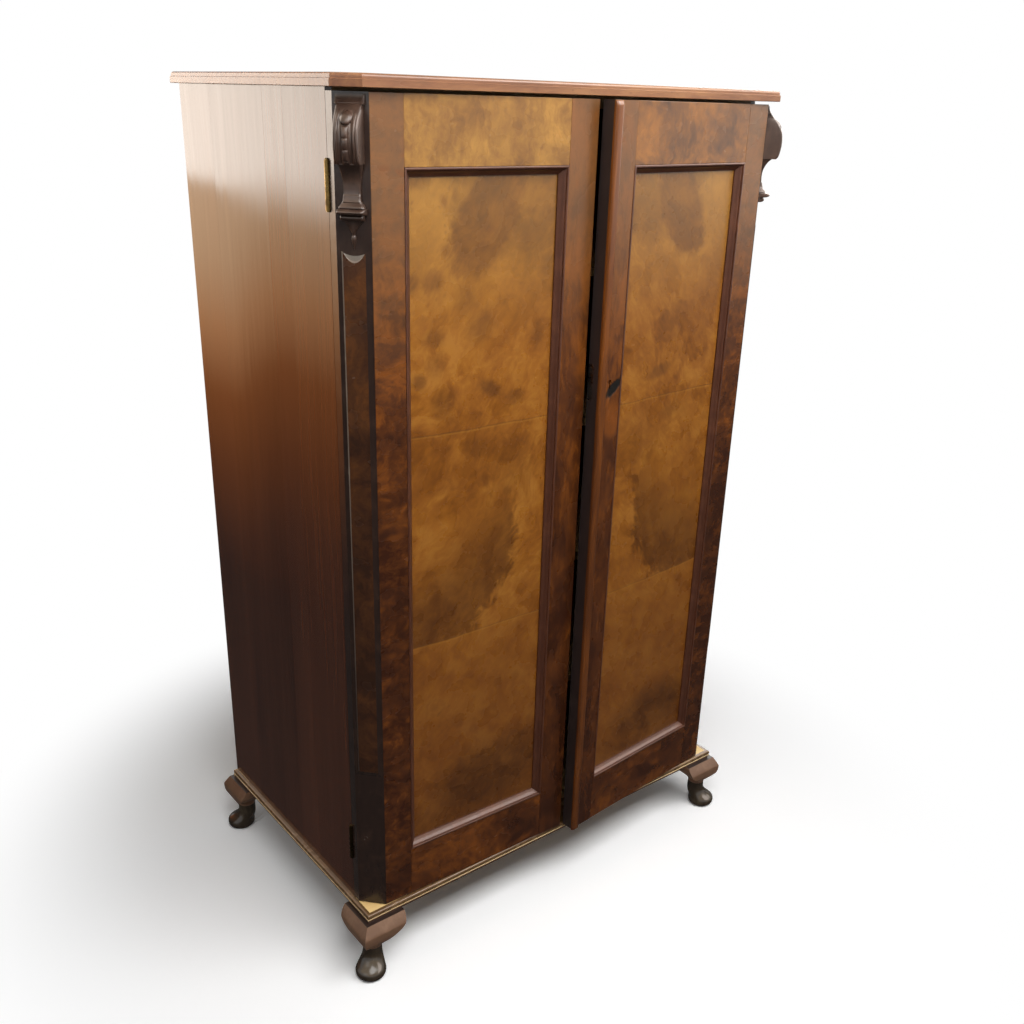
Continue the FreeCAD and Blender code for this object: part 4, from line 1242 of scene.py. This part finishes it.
@dataclass
class Door:
    """One door: frame, panel, moulding, corner post, field and corbel."""

    hanging: Hanging
    ease: float = 0.9 * MM
    moulding_width: float = 15.0 * MM
    moulding_bead: float = 4.5 * MM
    moulding_lip: float = 3.0 * MM
    moulding_quirk: float = 2.0 * MM
    moulding_sharp: float = 25.0
    bead_lap: float = 3.0 * MM
    bead_inset: float = 6.0 * MM
    bead_rebate: float = 0.5 * MM
    bead_radii: Pair = (5.0 * MM, 4.0 * MM)
    bead_ends: Pair = (5.0 * MM, 11.0 * MM)
    bead_sharp: float = 40.0

    def __post_init__(self) -> None:
        """Name the door's side and body."""
        self.side = self.hanging.side.value
        self.body = f"{self.side}_door"

    def box(self, label: str) -> tuple[Array, Array]:
        """Lowest and highest corner of one of this door's solids, in drawing coordinates."""
        return self.hanging.box(f"{self.side}_{label}")

    def eased(self, label: str, *finishes: Finish, slot: Slot = Slot.POLISHED) -> bpy.types.Mesh:
        """A solid of this door with eased edges."""
        return Piece(f"{self.side}_{label}", "eased", self.body, slot, finishes).eased(self.ease)

    def place(self, piece: Piece, shell: Shell, sharp: float) -> None:
        """Make a piece from a surface in drawing coordinates."""
        shell.points = self.hanging.at_rest(shell.points)
        piece.from_shell(shell, sharp)

    def frame_members(self) -> None:
        """Stiles and rails with eased edges, painted shade on the meeting stile's edge, and the veneered
        panel.
        """
        stile, rail, burr = {
            Side.LEFT: (LEFT_STILE_VENEER, TOP_RAIL_VENEER, LEFT_BURR),
            Side.RIGHT: (RIGHT_STILE_VENEER, RIGHT_RAIL_VENEER, RIGHT_BURR),
        }[self.hanging.side]
        # Faces on the meeting edge get the dark finish, painted shade in the gap
        edge = self.box("meeting_stile")[0][0] + MM
        for polygon in self.eased("meeting_stile", stile, MEETING_EDGE_PAINTED_SHADE).polygons:
            polygon.material_index = int(self.hanging.drawn(np.array(polygon.center))[0] < edge)
        self.eased("hinge_stile", HINGE_VENEER)
        self.eased("door_top_rail", rail)
        self.eased("door_bottom_rail", BOTTOM_RAIL_VENEER)
        dress(burr, f"{self.side}_door_panel")

    def moulding(self) -> None:
        """Panel moulding: a flattened bead, a quirk and a hollow slope to a lip, mitred round the opening."""
        stile, level = self.box("meeting_stile"), self.box("door_panel")[0][1]
        face, bead, width = level - stile[0][1], self.moulding_bead, self.moulding_width
        rounded = arc_points((bead / 2, 0.0), bead / 2, 180, 0, 9) * (1.0, 0.7) + (0.0, face)
        knots = [(bead, face - self.moulding_quirk), (0.45 * width, face - 1.6 * self.moulding_quirk)]
        knots += [(0.66 * width, 0.48 * face), (width, self.moulding_lip)]
        profile = np.vstack([[(0.0, 0.0)], rounded, smooth_curve(knots, 14), [(width, 0.0)]])
        left, right = stile[1][0], self.box("hinge_stile")[0][0]
        low, high = self.box("door_bottom_rail")[1][2], self.box("door_top_rail")[0][2]
        corners = [(left, level, low), (right, level, low), (right, level, high), (left, level, high)]
        shell = lofted(mitred(np.array(corners), profile, FORWARD), ring=True)
        piece = Piece(f"{self.side}_panel_moulding", "run", self.body, Slot.RED, (MOULDING_WALNUT,))
        self.place(piece, shell, self.moulding_sharp)

    def corner(self) -> None:
        """Post, field and corbel on the cant."""
        self.eased("corner_post", POST_STAIN, slot=Slot.DARK)
        post, (low, high) = self.box("corner_post"), self.box("post_field")
        cant, top = CantFrame.of(*post), post[1][2]
        field, corbel = PostField(cant, top - low[2], top - high[2]), Corbel(cant)
        # The crescent and the arris of the field are painted highlights
        finishes = (FIELD_VENEER, POST_STAIN, CRESCENT_PAINTED_HIGHLIGHT, ARRIS_PAINTED_HIGHLIGHT)
        piece = Piece(f"{self.side}_post_field", "raised", self.body, Slot.DARK, finishes)
        self.place(piece, field.shell(), field.sharp)
        piece = Piece(f"{self.side}_corbel", "carved", self.body, Slot.DARK, (CARVING_STAIN,))
        self.place(piece, corbel.shell(), corbel.sharp)

    def astragal(self) -> None:
        """Bead on the meeting edge, rebated to clear the other door, with round arrises and round ends."""
        low, high = self.hanging.box("astragal")
        width, proud = high[0] - low[0] + self.bead_lap - self.bead_inset, high[1] - low[1]
        (near, far), (foot, head) = self.bead_radii, self.bead_ends
        profile = np.vstack([
            [(self.bead_lap, 0.0), (self.bead_lap, self.bead_rebate), (0.0, self.bead_rebate)],
            arc_points((near, proud - near), near, 180, 90, 6),
            arc_points((width - far, proud - far), far, 90, 0, 14),
            [(width, 0.0)],
        ])
        t = np.linspace(0, 1, 13)
        z = np.concatenate([low[2] + foot * t, high[2] - head * t[::-1]])
        fall = 0.3 + 0.7 * dome((1 - np.concatenate([t, t[::-1]])) ** 2)
        x, y = low[0] - self.bead_lap + profile[:, 0], high[1] - profile[:, 1] * fall[:, None]
        shell = lofted(np.stack(np.broadcast_arrays(x, y, z[:, None]), axis=-1))
        piece = Piece("astragal", "bead", self.body, Slot.POLISHED, (BEAD_WALNUT,))
        self.place(piece, shell, self.bead_sharp)

    def build(self) -> None:
        """Make and dress every piece of the door."""
        self.frame_members()
        self.moulding()
        self.corner()
        if self.hanging.side is Side.RIGHT:
            self.astragal()
        dress(BRASS, f"{self.side}_hinge_door_leaves", f"{self.side}_hinge_door_screws")


# Carcass


@dataclass(frozen=True)
class CabrioleFoot:
    """Cabriole foot, drawn with its plinth corner at the origin and its ears along +x and +y.

    The curves are pairs of a share of a size and a share of the height; lean and swell are the leg's.
    """

    height: float = 138.0 * MM
    bulge: float = 19.7 * MM
    ear: float = 82.0 * MM
    ear_thickness: float = 36.0 * MM
    ankle_radius: float = 20.0 * MM
    ankle_inset: float = 18.8 * MM
    ankle_share: float = 66 / 138
    blend_share: float = 0.11
    pad_radius: float = 32.0 * MM
    pad_inset: float = 6.8 * MM
    sharp: float = 32.0
    leg_count: int = 46
    knee_count: int = 64
    run_counts: tuple[int, ...] = (22, 8, 10, 10, 8, 22)
    run_angles: tuple[float, ...] = (225, 335, 375, 405, 435, 475, 585)
    outer: Knots = (
        (-0.1, 0.45), (0.25, 0.543), (0.79, 0.652), (0.955, 0.725), (1.0, 0.8), (0.98, 0.84), (0.7, 0.92),
        (0.38, 1.0),
    )
    inner: Knots = (
        (0.44, 0.45), (0.46, 0.54), (0.57, 0.645), (0.73, 0.71), (0.87, 0.77), (0.95, 0.835), (1.0, 0.93),
        (1.0, 1.0),
    )
    taper: Knots = ((0.25, 0.44), (0.28, 0.52), (0.44, 0.6), (0.8, 0.69), (1.6, 0.8))
    lean: Knots = (
        (0.0, 0.0), (0.0, 0.07), (0.0, 0.2), (0.06, 0.32), (0.55, 0.47), (0.87, 0.61), (1.0, 0.77), (1.0, 1.0)
    )
    swell: Knots = (
        (0.74, 0.0), (0.93, 0.07), (1.0, 0.2), (0.94, 0.32), (0.79, 0.47), (0.69, 0.61), (0.635, 0.77),
        (0.625, 1.0),
    )

    def around(self, corners: Array) -> Array:
        """Evenly spaced points along each run between corners.

        Args:
            corners: The corners along the first of three axes.

        Returns:
            The points along the first axis.
        """
        index = np.repeat(np.arange(len(self.run_counts)), self.run_counts)
        t = np.concatenate([np.linspace(0, 1, n, endpoint=False) for n in self.run_counts])[:, None, None]
        return corners[index] * (1 - t) + corners[index + 1] * t

    def circle(self) -> Array:
        """Points of a unit circle that match the knee's corners, run by run."""
        angle = self.around(np.radians(self.run_angles)[:, None, None]).ravel()
        return np.stack([np.cos(angle), np.sin(angle)], axis=-1)

    def leg_rows(self) -> Array:
        """Round leg from pad to ankle: circles whose centre leans in and whose radius follows smooth knots.

        Returns:
            Sections from the floor up.
        """
        rise = np.linspace(0, 1, self.leg_count)
        radius = read_off(self.swell, rise, 200) * self.pad_radius
        inset = self.pad_inset + read_off(self.lean, rise, 200) * (self.ankle_inset - self.pad_inset)
        flat = inset[:, None, None] + radius[:, None, None] * self.circle()
        return self.raised(flat, rise * self.ankle_share)

    def raised(self, flat: Array, share: Array) -> Array:
        """Flat sections lifted to shares of the height."""
        z = np.broadcast_to((share * self.height)[:, None, None], (*flat.shape[:2], 1))
        return np.concatenate([flat, z], axis=-1)

    def knee_rows(self) -> Array:
        """Knee and ears from ankle to plinth.

        Each level is an L with its outer corner pushed out by the bulge and its ears as long as the inner
        curve allows; points beyond the taper's radius are drawn in to it, and near the ankle the L blends
        to a circle.

        Returns:
            Sections from the ankle up.
        """
        share = np.linspace(self.ankle_share + 0.004, 1.0, self.knee_count)
        out = -read_off(self.outer, share, 300) * self.bulge
        ear = read_off(self.inner, share, 300) * self.ear
        limit = read_off(self.taper, share, 200) * self.ear
        thick = np.minimum(ear, self.ear_thickness)
        corners = [(out, out), (ear, out), (ear, thick), (thick, thick), (thick, ear), (out, ear), (out, out)]
        offset = self.around(np.array(corners)).transpose(2, 0, 1) - self.ankle_inset
        reach = np.linalg.norm(offset, axis=-1, keepdims=True)
        offset = offset * np.minimum(1, limit[:, None, None] / np.maximum(reach, 1e-6))
        blend = np.clip((share - self.ankle_share) / self.blend_share, 0, 1)
        blend = (blend * blend * (3 - 2 * blend))[:, None, None]
        flat = self.ankle_inset + self.ankle_radius * self.circle() * (1 - blend) + offset * blend
        return self.raised(flat, share)

    def shell(self, corner: Pair, signs: Pair) -> Shell:
        """The whole foot at a plinth corner, with its leg and its upper end tagged.

        Args:
            corner: The plinth's corner.
            signs: Which way is inward.

        Returns:
            The foot.
        """
        sections = np.concatenate([self.leg_rows(), self.knee_rows()]) * (*signs, 1.0) + (*corner, 0.0)
        leg = np.arange(len(sections) - 1)[:, None] < self.leg_count
        made = lofted(sections, tags=leg.astype(int))
        # The last face is the upper end, under the plinth, painted dark as shade
        made.tags[-1] = 2
        return made


@dataclass(frozen=True)
class Plinth:
    """Moulded frame under the carcass: torus, small bead and fillet, bare on top at the corners; the bead's
    pale line is a painted highlight.
    """

    height: float = 18.0 * MM
    width: float = 80.0 * MM
    fillet_height: float = 6.0 * MM
    fillet_depth: float = 2.2 * MM
    bead_height: float = 2.5 * MM
    bead_depth: float = 1.0 * MM
    torus_depth: float = 3.0 * MM
    stain_width: float = 9.0 * MM
    bare_share: float = 0.09
    sharp: float = 30.0

    def profile(self) -> tuple[Array, Array]:
        """Closed profile of fillet, bead and torus.

        Returns:
            Pairs of inward distance and rise, and the finish of each run after a point.
        """
        bead, crown = self.bead_height / 2, self.fillet_height + self.bead_height
        half = (self.height - crown) / 2
        torus = arc_points((1.0, 1.0), 1.0, 270, 90, 15) * (self.torus_depth, half) + (0.0, crown)
        points = np.vstack([
            [(self.width, 0.0), (self.fillet_depth, 0.0), (self.fillet_depth, self.fillet_height)],
            arc_points((self.bead_depth, self.fillet_height + bead), bead, 270, 90, 7),
            torus,
            [(self.stain_width, self.height), (self.width, self.height)],
        ])
        tags = np.zeros(len(points), int)
        # Fascia, the bead's pale line as a painted highlight, and bare top, as the finishes are listed below
        tags[:3], tags[3:9], tags[-2] = 2, 3, 1
        return points, tags

    def build(self) -> None:
        """Front, left and right members, cut from one mitred loop, with the middle of the top stained."""
        (x, y, z), (far_x, _, _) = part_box("plinth_front")
        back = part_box("plinth_left")[1][1]
        points, tags = self.profile()
        loop = mitred(np.array([(x, y, z), (far_x, y, z), (far_x, back, z), (x, back, z)]), points, UPWARD)
        share = np.array([0.0, self.bare_share, 1 - self.bare_share, 1.0])[:, None, None]
        rows = np.stack([tags, np.where(tags == 1, 0, tags), tags])
        finishes = (PLINTH_STAIN, BARE_CORNER, FASCIA_STAIN, BEAD_PAINTED_HIGHLIGHT)
        for node, start, end in (("plinth_front", 0, 1), ("plinth_right", 1, 2), ("plinth_left", 3, 0)):
            shell = lofted(loop[start] * (1 - share) + loop[end] * share, tags=rows)
            Piece(node, "moulded", "carcass", Slot.DARK, finishes).from_shell(shell, self.sharp)


@dataclass(frozen=True)
class TopBoard:
    """Top board with canted front corners, a flat lower band and a rounded upper band."""

    cant: float = 36.0 * MM
    band: float = 12.0 * MM
    set_in: float = 2.0 * MM
    rounding: float = 5.0 * MM
    ease: float = 0.8 * MM
    groove: float = 0.4 * MM
    sharp: float = 30.0

    def build(self) -> None:
        """Carry the edge's profile round the outline and close it above and below."""
        (x, y, z), (far_x, far_y, far_z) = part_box("top_board")
        ease, band, rounding, cant = self.ease, self.band, self.rounding, self.cant
        profile = np.vstack([
            [(2 * ease, 0.0), (ease, 0.0), (0.0, ease), (0.0, band - ease), (ease, band)],
            [(self.set_in, band - self.groove), (self.set_in, band + self.groove)],
            arc_points((self.set_in + rounding, far_z - z - rounding), rounding, 180, 90, 9),
            [(self.set_in + 2 * rounding, far_z - z)],
        ])
        front = [(x, y + cant, z), (x + cant, y, z), (far_x - cant, y, z), (far_x, y + cant, z)]
        outline = np.array([*front, (far_x, far_y, z), (x, far_y, z)])
        shell = lofted(mitred(outline, profile, UPWARD).transpose(1, 0, 2))
        # The last face is the board's upper face
        shell.tags[-1] = 1
        piece = Piece("top_board", "moulded", "carcass", Slot.POLISHED, (TOP_WALNUT, TOP_FACE))
        piece.from_shell(shell, self.sharp)


@dataclass(frozen=True)
class Carcass:
    """Sides, back, floor, shelves, top and plinth."""

    ease: float = 0.6 * MM
    board_values: tuple[float, ...] = (0.35, 0.9, 0.1, 0.62)
    board_joints: tuple[float, ...] = (0.2549, 0.3849, 0.7649)

    def sides(self) -> None:
        """Side boards with eased joints; each board keeps a random value for its tone and lie."""
        for side in Side:
            piece = Piece(f"{side.value}_side_boards", "eased", "carcass", Slot.POLISHED, (SIDE_WALNUT,))
            mesh = piece.eased(self.ease)
            depth = points_of(mesh)[:, 1]
            joints = depth.min() + np.ptp(depth) * np.array(self.board_joints)
            values = np.array(self.board_values, np.float32)[np.searchsorted(joints, depth)]
            mesh.attributes.new("board", "FLOAT", "POINT").data.foreach_set("value", values)

    def feet(self) -> None:
        """Four cabriole feet at the plinth's corners."""
        low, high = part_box("plinth_front")[0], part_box("plinth_back")[1]
        # The foot's upper end is painted shade
        foot, finishes = CabrioleFoot(), (FOOT_STAIN, PAD_STAIN, KNEE_TOP_PAINTED_SHADE)
        for side, x, inward_x in ((Side.LEFT, low[0], 1.0), (Side.RIGHT, high[0], -1.0)):
            for row, y, inward_y in (("front", low[1], 1.0), ("back", high[1], -1.0)):
                piece = Piece(f"{row}_{side.value}_foot", "carved", "carcass", Slot.DARK, finishes)
                piece.from_shell(foot.shell((x, y), (inward_x, inward_y)), foot.sharp)

    def build(self) -> None:
        """Make and dress the carcass."""
        self.sides()
        dress(INNER_ACROSS, "bottom_board", "top_rails", "plinth_back", *(f"shelf_{i}" for i in range(1, 5)))
        dress(INNER_UPRIGHT, "back_boards", "foot_dowels")
        dress(INNER_DEEP, *(f"{side.value}_shelf_bearers" for side in Side))
        TopBoard().build()
        Plinth().build()
        self.feet()
        for name in ("hinge_carcass_leaves", "hinge_pins", "hinge_carcass_screws"):
            dress(BRASS, *(f"{side.value}_{name}" for side in Side))


def dress_fittings() -> None:
    """Finish the lock, the hook and the screws."""
    dress(BRASS, "hook_eye", "hook_bracket", "door_hook")
    dress(STEEL, "top_screws", "lock_case", "lock_bolt", "strike_plate")


# Studio


def placed(right: Array, back: Array, place: Triple) -> Matrix:
    """World matrix from the axes to the right and backwards and a place.

    Args:
        right: Unit axis to the right.
        back: Unit axis backwards.
        place: The place.

    Returns:
        The matrix.
    """
    axes = np.eye(4)
    axes[:3] = np.stack([right, np.cross(back, right), back, place], axis=1)
    return Matrix(axes.tolist())


@dataclass(frozen=True)
class Lamp:
    """Soft square lamp: where it stands, where it points, its size in metres and its power in watts."""

    name: str
    place: Triple
    target: Triple
    size: Pair
    power: float

    def build(self) -> None:
        """Add the lamp."""
        data = bpy.data.lights.new(self.name, "AREA")
        data.shape = "RECTANGLE"
        data.size, data.size_y = self.size
        data.energy = self.power
        back = np.array(self.place) - self.target
        back /= np.linalg.norm(back)
        right = np.cross(UPWARD, back)
        linked(self.name, data).matrix_world = placed(right / np.linalg.norm(right), back, self.place)


@dataclass(frozen=True)
class Sheet:
    """Flat sheet of the studio, level or standing along y, between its lowest and highest corners."""

    name: str
    low: Triple
    high: Triple

    def graph(self) -> Graph:
        """Graph of its own paint."""
        return Graph.paint(f"{self.name}_paint")

    def build(self, graph: Graph) -> bpy.types.Object:
        """Add the sheet.

        Args:
            graph: The graph of its paint.

        Returns:
            The sheet's object.
        """
        (x, y, z), (far_x, far_y, far_z) = self.low, self.high
        sides = [(far_x, y, z), (x, far_y, z)] if z == far_z else [(x, far_y, z), (x, y, far_z)]
        mesh = bpy.data.meshes.new(self.name)
        mesh.from_pydata([self.low, sides[0], self.high, sides[1]], [], [(0, 1, 2, 3)])
        mesh.materials.append(graph.owner)
        made = linked(self.name, mesh)
        return made


@dataclass(frozen=True)
class Studio:
    """Pale floor, white surround, lamps, cards that only reflections see, and the camera."""

    camera_place: Triple = (-1.36282, -1.79173, 1.69152)
    camera_right: Triple = (0.785388, -0.618348, 0.028493)
    camera_forward: Triple = (0.578862, 0.717371, -0.387682)
    focal_length: float = 37.396
    sensor_width: float = 36.0
    shift_up: float = 0.0333
    floor_white: Pair = (0.71, 1.28)
    floor_tones: Triple = (0.5, 1.0, 0.22)
    card_strength: float = 6.3
    dark_fade: Pair = (3.5, 30.0)
    dark_side: Pair = (-3.0, 2.0)
    dark_share: float = 0.36
    window_deep: Pair = (1.45, 1.75)
    window_fall: float = 1.5
    window_step: float = 1.4
    wall_fade: Pair = (1.1, 1.9)
    ambient: float = 0.18
    lamps: tuple[Lamp, ...] = (
        Lamp("key_lamp", (0.0, -1.5, 2.7), (0.0, -0.3, 1.0), (3.2, 1.2), 71.0),
        Lamp("fill_lamp", (-3.0, -0.9, 2.2), (-0.5, 0.0, 0.9), (1.5, 1.5), 8.0),
    )
    ground: Sheet = Sheet("floor", (-30.0, -30.0, 0.0), (30.0, 30.0, 0.0))
    dark: Sheet = Sheet("dark_card", (-60.0, -60.0, MM), (60.0, 60.0, MM))
    beside: Sheet = Sheet("window_card", (-1.2, 0.4, 2 * MM), (-1.2, 4.5, 3.0))
    wall: Sheet = Sheet("wall_card", (3.5, -1.5, 0.4), (3.5, 3.0, 3.0))
    overhead: tuple[tuple[Sheet, Triple], ...] = (
        (Sheet("ceiling_card", (-5.0, -8.0, 3.2), (6.0, 1.5, 3.2)), (0.26, 0.215, 0.165)),
        (Sheet("opening_card", (1.0, -5.5, 3.1), (4.6, -0.4, 3.1)), (1.1, 0.97, 0.88)),
    )
    window: Stops = (
        (0.0, (0.007, 0.007, 0.0075)), (0.2, (0.026, 0.0125, 0.009)), (0.37, (0.07, 0.023, 0.009)),
        (0.57, (0.15, 0.048, 0.014)), (0.73, (0.34, 0.16, 0.07)), (0.9, (0.45, 0.28, 0.16)),
        (1.0, (0.5, 0.32, 0.19)),
    )

    def camera(self) -> None:
        """Camera where the photograph was taken from."""
        data = bpy.data.cameras.new("camera")
        data.sensor_width, data.lens, data.shift_y = self.sensor_width, self.focal_length, self.shift_up
        made = linked("camera", data)
        right, back = np.array(self.camera_right), -np.array(self.camera_forward)
        made.matrix_world = placed(right, back, self.camera_place)
        bpy.context.scene.camera = made

    @staticmethod
    def close(graph: Graph, output: str, light: Signal, sight: Signal) -> None:
        """End a tree with one shader for light and one for rays from the camera, gloss and glass.

        Args:
            graph: The tree.
            output: Type of its last node.
            light: Shader that lights the press.
            sight: Shader that shows as background.
        """
        path = graph.node("LightPath")
        camera, gloss, clear = (
            Signal(graph, path.outputs[f"Is {kind} Ray"]) for kind in ("Camera", "Glossy", "Transmission")
        )
        seen = camera.at_least(gloss).at_least(clear)
        graph.node(output, {"Surface": graph.add("MixShader", {0: seen, 1: light, 2: sight})})

    def surround(self) -> None:
        """White surround to the eye and in reflections, and a plain pale light."""
        graph = Graph(bpy.data.worlds.new("surround"))
        strengths = (self.ambient, 1.0)
        light, sight = (graph.add("Background", {"Color": WHITE, "Strength": value}) for value in strengths)
        self.close(graph, "OutputWorld", light, sight)
        bpy.context.scene.world = graph.owner

    def floor(self) -> None:
        """Pale floor that keeps the press's shadow near it and turns plain white to the eye further off."""
        graph = self.ground.graph()
        x, y, _ = graph.axes()
        far = ((x * x + y * y) ** 0.5).step(*self.floor_white)
        plain, pale, glare = (graph.add("BsdfDiffuse", {"Color": (tone,) * 3}) for tone in self.floor_tones)
        white = graph.add("Emission", {"Color": WHITE, "Strength": 1.0})
        near = graph.add("AddShader", {0: pale, 1: glare})
        self.close(graph, "OutputMaterial", plain, graph.add("MixShader", {0: far, 1: near, 2: white}))
        self.ground.build(graph)

    def card(self, sheet: Sheet, graph: Graph, glow: Signal | Triple) -> None:
        """Card that lights nothing and is seen only in polished surfaces.

        Args:
            sheet: Its sheet.
            graph: The graph of its paint.
            glow: The colour of its light, as a share of the strongest.
        """
        lit = graph.add("Emission", {"Color": glow, "Strength": self.card_strength})
        graph.node("OutputMaterial", {"Surface": lit})
        made = sheet.build(graph)
        made.visible_camera = made.visible_diffuse = made.visible_shadow = False
        made.visible_transmission = made.visible_volume_scatter = False

    def floor_card(self) -> None:
        """Dark card over the floor that pales far off on the right, as a long room does in polished doors."""
        graph = self.dark.graph()
        x, y, _ = graph.axes()
        far = ((x * x + y * y) ** 0.5).step(*self.dark_fade) * x.step(*self.dark_side) * self.dark_share
        glow = far.mix((0.009, 0.0085, 0.0085), (1.0, 0.97, 0.92))
        self.card(self.dark, graph, glow)

    def window_card(self) -> None:
        """Card beside the left side: cream above, with a step, and fading through orange to dark below."""
        graph = self.beside.graph()
        _, y, z = graph.axes()
        deep = y.step(*self.window_deep)
        low = ((z + deep * 0.2) / self.window_fall).ramp(*self.window)
        above = ((z - self.window_step) / (0.2 - deep * 0.15)).step(-0.5, 0.5)
        glow = above.mix(low, (1.0, 0.86, 0.74))
        self.card(self.beside, graph, glow)

    def room_cards(self) -> None:
        """Pale ceiling, a bright opening in it to the right, and a pale wall on the right."""
        for sheet, colour in self.overhead:
            self.card(sheet, sheet.graph(), colour)
        graph = self.wall.graph()
        glow = graph.axes()[2].step(*self.wall_fade).mix((0.0, 0.0, 0.0), (1.1, 1.04, 0.98))
        self.card(self.wall, graph, glow)

    def build(self) -> None:
        """Set up the whole studio."""
        bpy.context.scene.view_settings.view_transform = "Standard"
        self.camera()
        self.surround()
        self.floor()
        self.floor_card()
        self.window_card()
        self.room_cards()
        for lamp in self.lamps:
            lamp.build()


def write_sizes() -> None:
    """Bring the view layer up to date."""
    bpy.context.view_layer.update()


def main() -> None:
    """Build every part of the press and the studio round it."""
    logging.basicConfig(level=logging.INFO, format="%(message)s")
    for side in Side:
        Door(Hanging.of(side)).build()
    Carcass().build()
    dress_fittings()
    Studio().build()
    write_sizes()


if __name__ == "__main__":
    main()
